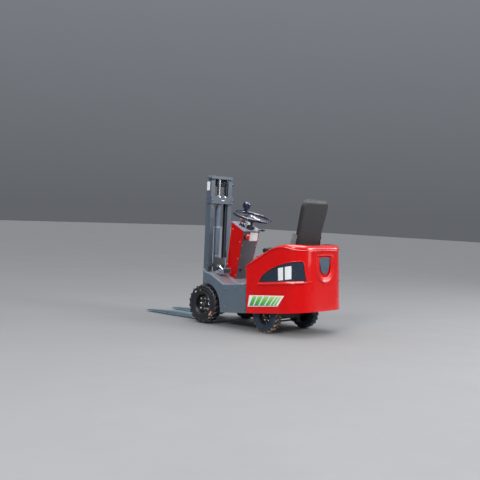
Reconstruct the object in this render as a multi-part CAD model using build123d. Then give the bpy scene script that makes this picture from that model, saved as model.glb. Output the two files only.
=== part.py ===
from build123d import *
import math
import os

os.makedirs("parts", exist_ok=True)

# Sit-on electric counterbalance fork lift truck. Millimetres, +X ahead, +Y left, +Z up.
# Stations along X are measured from the front axle, then everything moves by SHIFT_X
# so that the origin lies on the ground under the middle of the overall box.

# ---------------------------------------------------------------- driving sizes
SHIFT_X = 138.0
WHEELBASE = 845.0
FRONT_R, FRONT_W, FRONT_Y = 208.0, 104.0, 340.0      # tyre radius, width, centre plane
REAR_R, REAR_W, REAR_Y = 161.5, 92.0, 313.0
KINGPIN_Y = 195.0
FRONT_RIM_R, REAR_RIM_R = 108.0, 76.0                # bead seat radii
SPINDLE_F, SPINDLE_R = 30.0, 18.0
RUN = 0.3                                            # gap between curved faces of two bodies

SIDE_Y, SIDE_T = 404.0, 8.0                          # chassis side plates
BODY_Y, BODY_T = 426.0, 5.0                          # rear body shell, half width and skin
BODY_REAR_X = -1336.0
BODY_CORNER_R = 260.0
BODY_TAPER = 3.6                                      # degrees the sides and the tail lean in with height
BODY_SLOPE, BODY_DATUM_Z = math.tan(math.radians(BODY_TAPER)), 256.0
LIP = 5.0                                            # the top band stands out over the sides
THICK, TOP_EDGE_R, INSET_DEEP = 18.0, 42.0, 9.0
WELL_Y, WELL_REAR_X = 262.0, -1205.0                  # seat well between the side walls, open at the front
REAR_AXLE_X = -WHEELBASE

# chassis side plate outline (x, z)
SIDE_TOP = [(10, 556), (-92, 536), (-306, 444), (-615, 475)]
SIDE_BOTTOM = [(-637, 181), (-273, 148)]
ARCH_X, ARCH_Z, ARCH_R = -25.0, 200.0, 240.0
BEND_X, NOSE_Y = -300.0, 376.0                       # the plate bends inwards ahead of here

# rear body side outline (x, z), front bottom first, over the top to the rear
BODY_FOOT = (-645.0, 184.0)
BODY_BROW = (-598.0, 600.0)                          # where the front edge starts to curve back
BODY_ARCS = [(-652.0, 714.0), (-890.0, 852.0), (-1176.0, 913.0), (-1306.0, 900.0)]  # ends of the tangent arcs of the top line
BODY_HEEL = (BODY_REAR_X, BODY_DATUM_Z)
BAND_START, BAND_ARCS = (-596.0, 590.0), [(-645.0, 682.0), (-868.0, 817.0), (-1156.0, 872.0), (-1352.0, 868.0)]  # lower edge of the band
INSET = [(-793, 505), (-811, 558), (-836, 590), (-898, 640), (-1006, 694), (-1090, 722), (-1163, 741), (-1228, 751), (-1262, 753),
         (-1276, 660), (-1293, 548)]


# mast
MAST_REAR_X, MAST_FRONT_X = 150.0, 220.0
MAST_Y = 168.0
OUTER_Z0, OUTER_Z1 = 62.0, 1535.0
INNER_Z0, INNER_Z1 = 75.0, 1590.0
TIE_Z0, TIE_Z1 = 1286.0, 1368.0
PIVOT_X, PIVOT_Z = 96.0, 212.0
PIN_R = 15.0

FORK_Y, FORK_W, FORK_T = 202.0, 80.0, 28.0
FORK_TIP_X = 1060.0
SHANK_X = 262.0

TILT_A = (-112.0, 470.0)                             # barrel pin
TILT_B = (86.0, 600.0)                              # rod pin on the mast
TILT_Y = 62.0

SEAT_Z = 760.0                                       # top of the seat deck
HINGE_X, HINGE_Z = -612.0, 750.0                     # hood hinge


# ---------------------------------------------------------------- helpers
def block(x0, x1, y0, y1, z0, z1):
    return Pos((x0 + x1) / 2, (y0 + y1) / 2, (z0 + z1) / 2) * Box(abs(x1 - x0), abs(y1 - y0), abs(z1 - z0))


def rod_y(x, z, r, y0, y1):
    return Pos(x, (y0 + y1) / 2, z) * Rot(90, 0, 0) * Cylinder(r, abs(y1 - y0))


def rod_x(y, z, r, x0, x1):
    return Pos((x0 + x1) / 2, y, z) * Rot(0, 90, 0) * Cylinder(r, abs(x1 - x0))


def rod_z(x, y, r, z0, z1):
    return Pos(x, y, (z0 + z1) / 2) * Cylinder(r, abs(z1 - z0))


def rod_between(a, b, r):
    va, vb = Vector(*a), Vector(*b)
    d = vb - va
    pl = Plane(origin=a, z_dir=(d.X, d.Y, d.Z))
    return pl * (Pos(0, 0, d.length / 2) * Cylinder(r, d.length))


def side_prism(pts, y0, y1):
    """Outline in x, z pushed from y0 to y1."""
    face = make_face(Polyline([(x, y0, z) for x, z in pts], close=True))
    return extrude(face, amount=y1 - y0, dir=(0, 1, 0))


def plan_prism(pts, z0, z1):
    face = make_face(Polyline([(x, y, z0) for x, y in pts], close=True))
    return extrude(face, amount=z1 - z0, dir=(0, 0, 1))


def ring(profile, x, y, z):
    """Profile of (offset along y, radius) turned about a wheel's axis."""
    face = make_face(Polyline([(0, a, r) for a, r in profile], close=True))
    return Pos(x, y, z) * revolve(face, axis=Axis.Y)


def both(shape):
    return [shape, mirror(shape, about=Plane.XZ)]


def flat(items):
    out = []
    for i in items:
        if isinstance(i, (list, tuple)):
            out += flat(i)
        elif isinstance(i, ShapeList):
            out += flat(list(i))
        else:
            out += list(i.solids())
    return out


def save(name, *items):
    solids = [s.moved(Location((SHIFT_X, 0, 0))) for s in flat(items)]
    shape = solids[0] if len(solids) == 1 else Compound(children=solids)
    export_step(shape, "parts/" + name + ".step")
    box = shape.bounding_box()
    print(name, len(solids), [round(v) for v in (box.min.X, box.min.Y, box.min.Z, box.max.X, box.max.Y, box.max.Z)])


# ---------------------------------------------------------------- wheels
def tyre_profile(w, R, rim):
    h = w / 2
    return [(-h * 0.78, rim), (h * 0.78, rim), (h * 0.86, rim + 10), (h * 0.97, rim + 30), (h, rim + (R - rim) * 0.55),
            (h * 0.96, R - 18), (h * 0.8, R - 5), (h * 0.45, R), (-h * 0.45, R), (-h * 0.8, R - 5), (-h * 0.96, R - 18),
            (-h, rim + (R - rim) * 0.55), (-h * 0.97, rim + 30), (-h * 0.86, rim + 10)]


def rim_profile(w, rim, bore, disc):
    """Outboard is +y: flange, drop centre, disc and hub in one closed outline."""
    h = w / 2 * 0.78
    r0 = rim - 0.0
    return [(-h, r0), (-h, r0 - 7), (disc - 6, r0 - 9), (disc - 6, bore + 18), (disc - 34, bore + 14), (disc - 34, bore),
            (disc + 12, bore), (disc + 12, 0), (disc + 20, 0), (disc + 20, bore - 2), (disc + 4, bore + 12),
            (disc + 4, r0 - 9), (h, r0 - 7), (h, r0)]


# columns: name, x, centre plane y, radius, width, rim radius, spindle radius, disc offset
WHEELS = [
    ("front_left", 0.0, FRONT_Y, FRONT_R, FRONT_W, FRONT_RIM_R, SPINDLE_F, 4.0),
    ("front_right", 0.0, -FRONT_Y, FRONT_R, FRONT_W, FRONT_RIM_R, SPINDLE_F, 4.0),
    ("rear_left", REAR_AXLE_X, REAR_Y, REAR_R, REAR_W, REAR_RIM_R, SPINDLE_R, 8.0),
    ("rear_right", REAR_AXLE_X, -REAR_Y, REAR_R, REAR_W, REAR_RIM_R, SPINDLE_R, 8.0),
]
for name, x, y, R, w, rim, sp, disc in WHEELS:
    side = 1 if y > 0 else -1
    t = ring(tyre_profile(w, R, rim), x, abs(y), R)
    r = ring(rim_profile(w, rim, sp + RUN, disc), x, abs(y), R)
    if side < 0:
        t, r = mirror(t, about=Plane.XZ), mirror(r, about=Plane.XZ)
    save(name + "_tyre", t)
    save(name + "_rim", r)

# ---------------------------------------------------------------- chassis frame
arch = rod_y(ARCH_X, ARCH_Z, ARCH_R, -900, 900)
side = side_prism(SIDE_TOP + SIDE_BOTTOM + [(-273, ARCH_Z), (10, ARCH_Z)], 300, 450) - arch
side = side & plan_prism([(-640, SIDE_Y), (BEND_X, SIDE_Y), (12, NOSE_Y), (12, NOSE_Y - SIDE_T), (BEND_X, SIDE_Y - SIDE_T),
                          (-640, SIDE_Y - SIDE_T)], 0, 700)
RAIL_Y0, RAIL_Y1 = 112.0, 150.0
rail = side_prism([(60, 320), (60, 262), (-300, 264), (-640, 272), (-1108, 296), (-1108, 350), (-640, 326)], RAIL_Y0, RAIL_Y1)
front_wall = block(44, 60, -150, 150, 130, 530)
cross_mid = side_prism([(-300, 300), (-300, 166), (-312, 166), (-312, 300)], -SIDE_Y + SIDE_T, SIDE_Y - SIDE_T)
cross_rear = side_prism([(-594, 188), (-594, 462), (-604, 462), (-604, 188)], -SIDE_Y + SIDE_T, SIDE_Y - SIDE_T)
belly = side_prism([(-306, 160), (-600, 186), (-600, 194), (-306, 168)], -SIDE_Y + SIDE_T, SIDE_Y - SIDE_T)
ear = side_prism([(60, 180), (60, 250), (100, 236), (116, 212), (100, 188)], 88, 106)
pin = rod_y(PIVOT_X, PIVOT_Z, PIN_R, 100, 150)
tilt_ear = side_prism([(-130, 440), (-94, 440), (-94, 476), (-112, 492), (-130, 476)], TILT_Y + 24, TILT_Y + 32)
tilt_pin = rod_y(TILT_A[0], TILT_A[1], 9, TILT_Y - 16, TILT_Y + 28)
tilt_base = block(-140, -84, TILT_Y - 26, TILT_Y + 34, 432, 444)
frame_solid = side + mirror(side, about=Plane.XZ)
for piece in (rail, ear, pin, tilt_ear, tilt_pin, tilt_base):
    frame_solid = frame_solid + piece + mirror(piece, about=Plane.XZ)
for piece in (front_wall, cross_mid, cross_rear, belly):
    frame_solid = frame_solid + piece
frame_solid += block(-150, 60, -150, 150, 424, 434)
frame_solid += block(-312, -150, -150, 150, 424, 434) - block(-400, 0, -300, 300, 500, 600)
frame_solid += side_prism([(-300, 232), (-300, 434), (-312, 434), (-312, 232)], -SIDE_Y + SIDE_T, SIDE_Y - SIDE_T)
save("chassis_frame", frame_solid)

# floor: toe board over the front wheels and the flat part behind it
def offset_down(pts, d):
    return [(x, z - d) for x, z in reversed(pts)]


toe = [(-8, 552), (-92, 535.5), (-306, 443.5), (-600, 472.5)]
floor = side_prism(toe + offset_down(toe, 6), -SIDE_Y + SIDE_T + 1, SIDE_Y - SIDE_T - 1)
floor = floor & plan_prism([(-640, SIDE_Y - SIDE_T - 1), (BEND_X, SIDE_Y - SIDE_T - 1), (12, NOSE_Y - SIDE_T - 1), (12, 1 + SIDE_T - NOSE_Y),
                             (BEND_X, 1 + SIDE_T - SIDE_Y), (-640, 1 + SIDE_T - SIDE_Y)], 300, 700)
floor -= block(-145, 40, -100, 100, 300, 700)
save("floor_plate", floor)

# ---------------------------------------------------------------- rear body shell
def tangent_arc(p, t, q):
    """Arc from p, leaving along t, to q, all (x, z); gives its edge and its direction at q."""
    px, pz, qx, qz = p[0], p[1], q[0], q[1]
    dx, dz = qx - px, qz - pz
    nx, nz = -t[1], t[0]
    side_off = dx * nx + dz * nz
    r = (dx * dx + dz * dz) / (2 * side_off)
    cx, cz = px + nx * r, pz + nz * r
    mx, mz = (px + qx) / 2 - cx, (pz + qz) / 2 - cz
    k = abs(r) / math.hypot(mx, mz)
    mid = (cx + mx * k, 0, cz + mz * k)
    ex, ez = (qx - cx) / r, (qz - cz) / r
    return ThreePointArc((px, 0, pz), mid, (qx, 0, qz)), (ez, -ex)


def body_outline(off, drop):
    """Closed side outline, moved in by off and down by drop at the open foot."""
    foot = (BODY_FOOT[0] - off, BODY_FOOT[1] - drop)
    brow = (BODY_BROW[0] - off, BODY_BROW[1])
    d = math.hypot(BODY_BROW[0] - BODY_FOOT[0], BODY_BROW[1] - BODY_FOOT[1])
    t = ((BODY_BROW[0] - BODY_FOOT[0]) / d, (BODY_BROW[1] - BODY_FOOT[1]) / d)
    edges = [Line((foot[0], 0, foot[1]), (brow[0], 0, brow[1]))]
    here = brow
    ends = [(BODY_ARCS[0][0] - off * 0.6, BODY_ARCS[0][1] - off * 0.8), (BODY_ARCS[1][0] - off * 0.35, BODY_ARCS[1][1] - off * 0.93),
            (BODY_ARCS[2][0], BODY_ARCS[2][1] - off), (BODY_ARCS[3][0], BODY_ARCS[3][1] - off)]
    for e in ends:
        arc, t = tangent_arc(here, t, e)
        t = (t[0], t[1])
        if t[0] > 0:
            t = (-t[0], -t[1])
        edges.append(arc)
        here = e
    rear = BODY_REAR_X - 10
    top_rear = (rear, here[1] + t[1] / t[0] * (rear - here[0]))
    heel = (rear, BODY_HEEL[1] - drop + 1)
    for p, q in ((here, top_rear), (top_rear, heel), (heel, foot)):
        edges.append(Line((p[0], 0, p[1]), (q[0], 0, q[1])))
    return make_face(Wire(edges))


def plan_solid(off, front=-400.0):
    """Upright block with rounded rear corners that leans in with height, moved in by off."""
    grow = BODY_DATUM_Z * BODY_SLOPE - off
    half, rear, r = BODY_Y + grow, BODY_REAR_X - grow, BODY_CORNER_R + grow
    k = r * (1 - math.sqrt(0.5))
    pts = Wire([Line((front, half, 0), (rear + r, half, 0)), ThreePointArc((rear + r, half, 0), (rear + k, half - k, 0), (rear, half - r, 0)),
                Line((rear, half - r, 0), (rear, r - half, 0)), ThreePointArc((rear, r - half, 0), (rear + k, k - half, 0), (rear + r, -half, 0)),
                Line((rear + r, -half, 0), (front, -half, 0)), Line((front, -half, 0), (front, half, 0))])
    return extrude(make_face(pts), amount=1000, dir=(0, 0, 1), taper=BODY_TAPER)


def side_band(off, drop):
    face = Pos(0, -460, 0) * body_outline(off, drop)
    return extrude(face, amount=920, dir=(0, 1, 0))


def body_solid(off, drop):
    return side_band(off, drop) & plan_solid(off)


def below_band():
    """Everything under the lower edge of the top band."""
    d = math.hypot(BODY_BROW[0] - BODY_FOOT[0], BODY_BROW[1] - BODY_FOOT[1])
    t = ((BODY_BROW[0] - BODY_FOOT[0]) / d, (BODY_BROW[1] - BODY_FOOT[1]) / d)
    edges, here = [], BAND_START
    for e in BAND_ARCS:
        arc, t = tangent_arc(here, t, e)
        if t[0] > 0:
            t = (-t[0], -t[1])
        edges.append(arc)
        here = e
    for q in ((here[0], 100), (-560, 100), BAND_START):
        edges.append(Line((here[0], 0, here[1]), (q[0], 0, q[1])))
        here = q
    return extrude(Pos(0, -460, 0) * make_face(Wire(edges)), amount=920, dir=(0, 1, 0))


def rounded_body():
    """The top band stands out by the lip; its rim is rounded and the sides below it stay back."""
    solid = side_band(0, 0) & plan_solid(-LIP)
    rim = []
    for e in solid.edges():
        c, b = e.center(), e.bounding_box().size
        across = abs(c.Y) < 1 and b.Y > 2 and b.X < 1 and c.X > BODY_REAR_X + 90
        upright = b.Z > 300 and c.X < -900
        if c.Z > 300 and not across and not upright:
            rim.append(e)
    print("rim edges", len(rim))
    for r in (TOP_EDGE_R, 34.0, 24.0):
        try:
            solid = fillet(rim, r)
            break
        except Exception as err:
            print("rim radius", r, "failed")
    return solid - (below_band() - plan_solid(0))


outer_body = rounded_body()
upper = body_solid(THICK, 40) - block(-1400, -500, -600, 600, 0, 372)
lower = body_solid(BODY_T, 40) - block(-1400, -500, -600, 600, 360, 1200)
cavity = upper + lower + (body_solid(THICK, 40) & block(-1400, -500, -600, 600, 350, 380))
shell = outer_body - cavity
shell -= block(WELL_REAR_X, -500, -WELL_Y, WELL_Y, 470, 1200)
shell -= block(-665, -560, -WELL_Y, WELL_Y, 100, 600) + block(-665, -560, -410, 410, 100, 372)  # the steered wheels swing forward here
well = block(WELL_REAR_X - 4, -560, -WELL_Y - 4, WELL_Y + 4, 480, 1200) - block(WELL_REAR_X, -500, -WELL_Y, WELL_Y, 400, 1300)
shell += well & body_solid(2, 0)
# pockets for the side insets, a ledge under each, and the tail recess
skin_out, skin_pocket, skin_panel = plan_solid(-20), plan_solid(INSET_DEEP), plan_solid(INSET_DEEP - 3)
pocket = (side_prism(INSET, 150, 480) & skin_out) - skin_pocket
shell = shell - pocket - mirror(pocket, about=Plane.XZ)
ledge = side_prism([(-774, 488), (-1330, 544), (-1330, 557), (-776, 501)], 215, 480) & (plan_solid(-4) - plan_solid(6))
crease = (side_prism([(-600, 388), (-1140, 443), (-1140, 447), (-600, 392)], 300, 480) & skin_out) - plan_solid(2.5)


def tail_u(half, z_top, z_low, x):
    """Outline with a straight top and a half-round foot, on the upright tail plane."""
    zc = z_low + half
    return Wire([Line((x, half, zc), (x, half, z_top)), Line((x, half, z_top), (x, -half, z_top)),
                 Line((x, -half, z_top), (x, -half, zc)), ThreePointArc((x, -half, zc), (x, 0, z_low), (x, half, zc))])


def lean(shape):
    """From the upright tail plane, x 0 at the surface, onto the leaning one."""
    return Pos(BODY_REAR_X, 0, BODY_DATUM_Z) * Rot(0, BODY_TAPER, 0) * Pos(0, 0, -BODY_DATUM_Z) * shape


scoop = Solid.make_loft([tail_u(143, 812, 536, -1), tail_u(106, 800, 588, 13)], ruled=True)
shell = shell - lean(scoop)
shell = shell - crease - mirror(crease, about=Plane.XZ)
save("rear_body_shell", shell + ledge + mirror(ledge, about=Plane.XZ))
inset = (side_prism([(x * 0.995 - 5.0, 8 + z * 0.987) for x, z in INSET], 150, 480) & skin_panel) - skin_pocket
save("side_inset_panels", both(inset))
face = make_face(Wire([Line((0, 67, 680), (0, 99, 790)), Line((0, 99, 790), (0, -99, 790)),
                       Line((0, -99, 790), (0, -67, 680)), ThreePointArc((0, -67, 680), (0, 0, 626), (0, 67, 680))]))
save("tail_recess_panel", lean(Pos(5, 0, 0) * extrude(face, amount=8, dir=(1, 0, 0))))

# ---------------------------------------------------------------- seat deck, seat
deck = block(WELL_REAR_X + 6, -612, -WELL_Y + 6, WELL_Y - 6, SEAT_Z - 8, SEAT_Z)
front_panel = side_prism([(-628, 492), (-604, 740), (-616, 740), (-640, 492)], -WELL_Y + 6, WELL_Y - 6)
# hood hinges: a pin on the deck in a knuckle on the front panel
for y0 in (-190, 130):
    knuckle = rod_y(HINGE_X, HINGE_Z, 9, y0 + 20, y0 + 40) - rod_y(HINGE_X, HINGE_Z, 5.05, y0, y0 + 60)
    foot = block(HINGE_X - 3, HINGE_X + 5, y0 + 20, y0 + 40, 738, 742)
    front_panel += knuckle + foot - rod_y(HINGE_X, HINGE_Z, 5.05, y0, y0 + 60)
    deck -= block(HINGE_X - 16, HINGE_X + 16, y0 + 15, y0 + 45, SEAT_Z - 20, SEAT_Z + 10)
    deck += rod_y(HINGE_X, HINGE_Z, 5, y0 + 5, y0 + 55)
    for y1 in (y0 + 3, y0 + 47):
        deck += rod_y(HINGE_X, HINGE_Z, 9, y1, y1 + 10) + block(HINGE_X - 14, HINGE_X, y1, y1 + 10, SEAT_Z - 12, SEAT_Z - 4)
save("seat_deck", deck)
save("battery_box_front_panel", front_panel)
seat_base = block(-1060, -700, -150, 150, SEAT_Z, SEAT_Z + 30)
seat_base += block(-1066, -1030, -212, 212, SEAT_Z, SEAT_Z + 10)
strap = side_prism([(-1036, 762), (-1066, 762), (-1066, 830), (-1096, 1000), (-1058, 1026), (-1044, 1010), (-1010, 900), (-1012, 866), (-1036, 846)],
                   206, 212)
seat_base = seat_base + strap + mirror(strap, about=Plane.XZ)
save("seat_rails", seat_base)
cushion = side_prism([(-636, 800), (-626, 820), (-640, 846), (-700, 852), (-1012, 838), (-1028, 800), (-1010, 790), (-680, 790)], -205, 205)
save("seat_cushion", cushion)
pts = [(-1022, 856), (-1144, 1310), (-1154, 1338), (-1172, 1350), (-1190, 1343), (-1198, 1318), (-1074, 856), (-1060, 844), (-1034, 844)]
back = side_prism(pts, -204, 204) & Plane.YZ.offset(-1400) * extrude(
    make_face(Polyline([(-190, 824), (-204, 860), (-198, 1270), (-191, 1310), (-161, 1346), (-118, 1362), (118, 1362), (161, 1346),
                        (191, 1310), (198, 1270), (204, 860), (190, 824)], close=True)), 500)
save("seat_backrest", back)
save("battery_block", block(-1010, -655, -240, 240, 360, 700))
save("counterweight_block", block(-1276, -1112, -246, 246, 300, 465) + block(-1262, -1214, -232, 232, 460, 800))

# ---------------------------------------------------------------- axles
drive = block(-42, 42, -250, 250, 152, 261) + rod_y(0, FRONT_R, 42, -262, 262)
drive += rod_x(30, FRONT_R - 8, 60, -230, 0) + rod_y(0, FRONT_R, SPINDLE_F, -FRONT_Y - 14, FRONT_Y + 14)
save("front_drive_axle", drive)

KZ0, KZ1 = 96.0, 236.0
beam = block(REAR_AXLE_X - 38, REAR_AXLE_X + 38, -150, 150, 130, 200)
beam += block(REAR_AXLE_X - 38, REAR_AXLE_X + 38, -150, 150, 200, 277)
for z0, z1 in ((KZ0 - 18, KZ0 - 1), (KZ1 + 1, KZ1 + 18)):
    ear_b = block(REAR_AXLE_X - 30, REAR_AXLE_X + 30, 140, KINGPIN_Y + 26, z0, z1) - rod_z(REAR_AXLE_X, KINGPIN_Y, 12.05, 0, 400)
    beam += ear_b + mirror(ear_b, about=Plane.XZ)
web = block(REAR_AXLE_X - 30, REAR_AXLE_X + 30, 140, 152, KZ0 - 18, KZ1 + 18)
beam += web + mirror(web, about=Plane.XZ)
save("rear_axle_beam", beam)

ARM_X = 78.0
for name, s in (("left", 1), ("right", -1)):
    k = rod_z(REAR_AXLE_X, KINGPIN_Y, 26, KZ0, KZ1) + rod_z(REAR_AXLE_X, KINGPIN_Y, 12, KZ0 - 18, KZ1 + 18)
    k += rod_y(REAR_AXLE_X, REAR_R, SPINDLE_R, KINGPIN_Y, REAR_Y + 18)
    k += rod_y(REAR_AXLE_X, REAR_R, 30, KINGPIN_Y, REAR_Y - 40)
    k += block(REAR_AXLE_X, REAR_AXLE_X + ARM_X + 14, KINGPIN_Y - 14, KINGPIN_Y + 14, KZ0, KZ0 + 14)
    k -= rod_z(REAR_AXLE_X + ARM_X, KINGPIN_Y, 8.05, 0, 400)
    if s < 0:
        k = mirror(k, about=Plane.XZ)
    save("rear_%s_knuckle" % name, k)
tie = rod_y(REAR_AXLE_X + ARM_X, KZ0 - 10, 9, -KINGPIN_Y, KINGPIN_Y)
for s in (1, -1):
    tie += rod_z(REAR_AXLE_X + ARM_X, s * KINGPIN_Y, 8, KZ0 - 10, KZ0 + 16) + rod_z(REAR_AXLE_X + ARM_X, s * KINGPIN_Y, 14, KZ0 - 20, KZ0 - 1)
save("steering_tie_rod", tie)

# ---------------------------------------------------------------- steering console
FB, RB, FT, RT = (-68, 532), (-209, 474), (-142, 1092), (-315, 1003)
LOW_Y, TOP_Y = 110.0, 132.0


def panel(points, toward):
    """Flat plate 4 mm thick through four corners, thickened toward a point."""
    face = make_face(Polyline(points, close=True))
    n = face.normal_at() if hasattr(face, "normal_at") else face.faces()[0].normal_at()
    c = face.center()
    d = Vector(*toward) - c
    if n.dot(d) < 0:
        n = n * -1
    return extrude(face, amount=4, dir=(n.X, n.Y, n.Z))


# height of the fourth corner's y on the plane through the other three
_a, _b = Vector(RB[0] - FB[0], 0, RB[1] - FB[1]), Vector(FT[0] - FB[0], TOP_Y - LOW_Y, FT[1] - FB[1])
_n = _a.cross(_b)
RT_Y = LOW_Y - (_n.X * (RT[0] - FB[0]) + _n.Z * (RT[1] - FB[1])) / _n.Y
red = panel([(FB[0], LOW_Y, FB[1]), (RB[0], LOW_Y, RB[1]), (RT[0], RT_Y, RT[1]), (FT[0], TOP_Y, FT[1])], (-200, 0, 750))
below = side_prism(toe + [(-600, 300), (-8, 300)], -300, 300)
red -= below
save("console_side_panels", both(red))
knee = panel([(RB[0], LOW_Y - 6, RB[1]), (RB[0], 6 - LOW_Y, RB[1]), (RT[0], 6 - RT_Y, RT[1]), (RT[0], RT_Y - 6, RT[1])], (-100, 0, 750))
save("console_knee_panel", knee - below)
frontp = panel([(FB[0] - 1, LOW_Y - 6, FB[1] + 4), (FB[0] - 1, 6 - LOW_Y, FB[1] + 4), (FT[0] - 1, 6 - TOP_Y, FT[1] - 2), (FT[0] - 1, TOP_Y - 6, FT[1] - 2)], (-300, 0, 750))
save("console_front_panel", frontp - below)
dash = side_prism([(-134, 1098), (-322, 1001), (-325, 1007), (-137, 1104)], -TOP_Y - 4, TOP_Y + 4)
STEER_C = (-314.0, 0.0, 1160.0)
STEER_S, STEER_K = math.sin(math.radians(15)), math.cos(math.radians(15))   # the wheel's axis leans back by 15 degrees
STEER_R = 198.0
LEVERS = (((-214, 68), (-218, 70, 1126)), ((-238, 58), (-253, 60, 1111)))  # feet on the dash and tips


def down_column(d):
    return (STEER_C[0] + STEER_S * d, 0, STEER_C[2] - STEER_K * d)


col = rod_between(down_column(158), down_column(22), 25)
save("steering_column", col)
pl = Plane(origin=STEER_C, x_dir=(STEER_K, 0, STEER_S), z_dir=(-STEER_S, 0, STEER_K))
wheel = pl * (Torus(STEER_R, 13) + Cylinder(36, 30))
for a in (80, 200, 320):
    wheel += pl * (Rot(0, 0, a) * Pos(103, 0, -6) * Box(176, 32, 8))
knob_at = Rot(0, 0, -24) * Pos(STEER_R, 0, 0)
wheel += pl * (knob_at * Pos(0, 0, 32) * Cylinder(11, 64))
wheel += pl * (knob_at * Pos(0, 0, 46) * Cylinder(28, 20) + knob_at * Pos(0, 0, 80) * Cylinder(40, 56))
save("steering_wheel", wheel)
levers = [rod_between((-290, -104, 1012), (-364, -130, 1018), 4.5) + rod_between((-350, -125.1, 1016.9), (-372, -132.8, 1018.6), 9)]
for (x, y), tip in LEVERS:
    foot_z = 1104 - (-137 - x) * 97 / 188
    levers.append(rod_between((x, y, foot_z - 12), tip, 5) + Pos(*tip) * Sphere(13))
dash -= rod_between(down_column(158), STEER_C, 26)
for lever in levers:
    dash -= lever
save("dash_panel", dash)
save("control_levers", levers)
save("emergency_stop_knob", Pos(-315.2, 70, 945) * Rot(0, 78.7, 0) * Cylinder(30, 22))
low_pad = [(-148, 531), (-75, 562), (-78, 570), (-151, 539)]
brake = block(-196, -186, 176, 290, 549, 600) + rod_between((-190, 190, 565), (-126, 190, 530), 6)
ped = [brake]
for y0, y1 in ((206, 284), (-236, -176)):
    ped.append(side_prism(low_pad, y0, y1) + rod_between((-112, (y0 + y1) / 2, 549), (-106, (y0 + y1) / 2, 536), 6))
save("pedals", ped)

# ---------------------------------------------------------------- mast
outer = None
WEB, FLANGE = 10.0, 10.0
TIE_X = MAST_REAR_X - 18
ch = block(MAST_REAR_X, MAST_FRONT_X, 108, MAST_Y, OUTER_Z0, OUTER_Z1)
ch -= block(MAST_REAR_X + FLANGE, MAST_FRONT_X - FLANGE, 80, MAST_Y - WEB, 0, 2000)
outer = ch + mirror(ch, about=Plane.XZ)
tie_bar = block(TIE_X, MAST_REAR_X, -MAST_Y - 8, MAST_Y + 8, TIE_Z0, TIE_Z1)
wing = block(TIE_X, MAST_FRONT_X - 10, MAST_Y, MAST_Y + 8, TIE_Z0, TIE_Z1)
outer = outer + tie_bar + wing + mirror(wing, about=Plane.XZ)
outer += block(TIE_X, MAST_REAR_X, -MAST_Y, MAST_Y, 70, 150)
outer += block(TIE_X + 8, MAST_REAR_X, -MAST_Y, MAST_Y, 590, 630)
for y in (-52, 52):
    outer += block(TIE_X + 16, TIE_X + 31, y - 12, y + 12, 1350, 1366)
guard = block(130, 139.7, -105, 105, 541, 686)
for y in (-TILT_Y - 17, TILT_Y + 17):
    guard -= block(100, 150, y - 6, y + 6, 580, 620)
save("mast_guard_plate", guard)
lug = side_prism([(132, 170), (150, 160), (150, 264), (132, 254), (80, 240), (70, 212), (80, 184)], 114, 144) - rod_y(PIVOT_X, PIVOT_Z, PIN_R + 0.05, 0, 300)
outer = outer + lug + mirror(lug, about=Plane.XZ)
bracket = block(72, 141, TILT_Y + 12, TILT_Y + 22, 582, 618) + rod_y(TILT_B[0], TILT_B[1], 8, TILT_Y - 14, TILT_Y + 14)
outer = outer + bracket + mirror(bracket, about=Plane.XZ)
outer += block(148, 230, -40, 40, 70, 86)
save("outer_mast", outer)

INNER_X0, INNER_X1, INNER_Y = 165.0, 205.0, 153.0
inner_ch = block(INNER_X0, INNER_X1, 91, INNER_Y, INNER_Z0, INNER_Z1) - block(INNER_X0 + 8, INNER_X1 - 8, 70, INNER_Y - 8, 0, 3000)
inner = inner_ch + mirror(inner_ch, about=Plane.XZ)
head = [(-170, INNER_Z1 - 32), (170, INNER_Z1 - 32), (170, INNER_Z1 - 13), (157, INNER_Z1), (-157, INNER_Z1), (-170, INNER_Z1 - 13)]
inner += extrude(make_face(Polyline([(141, y, z) for y, z in head], close=True)), amount=72, dir=(1, 0, 0))
inner += block(168, INNER_X0 + 8, -98, 98, 1296, 1336)
save("inner_mast", inner)

LIFT_X = 196.0
barrel = rod_z(LIFT_X, 0, 32, 86, 1290) - rod_z(LIFT_X, 0, 24, 100, 1300)
barrel += rod_z(LIFT_X, 0, 36, 1262, 1290) - rod_z(LIFT_X, 0, 20.05, 1200, 1300)
save("lift_cylinder_barrel", barrel)
save("lift_cylinder_rod", rod_z(LIFT_X, 0, 20, 130, INNER_Z1 - 33))

car = None
for z0, z1 in ((54, 126), (258, 328)):
    b = block(240, 261, -246, 246, z0, z1)
    car = b if car is None else car + b
plate = block(178, 241, 73, 84, 60, 324)
for z in (100, 290):
    plate += rod_y(185, z, 6, 78, 106) + rod_y(185, z, 11.5, 104, 138)
car = car + plate + mirror(plate, about=Plane.XZ)
save("fork_carriage", car)
for name, s in (("left", 1), ("right", -1)):
    y0, y1 = s * FORK_Y - FORK_W / 2, s * FORK_Y + FORK_W / 2
    f = side_prism([(262, 20), (262, 334), (290, 334), (290, 48), (640, 48), (FORK_TIP_X, 22), (FORK_TIP_X, 14), (640, 20)], y0, y1)
    save("fork_%s" % name, f)

chain = block(226, 234, 44, 60, 312, 1530)
save("lift_chain_front", both(chain))
chain_r = block(155, 163, 44, 60, 1366.3, 1520)
save("lift_chain_rear", both(chain_r))

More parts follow.
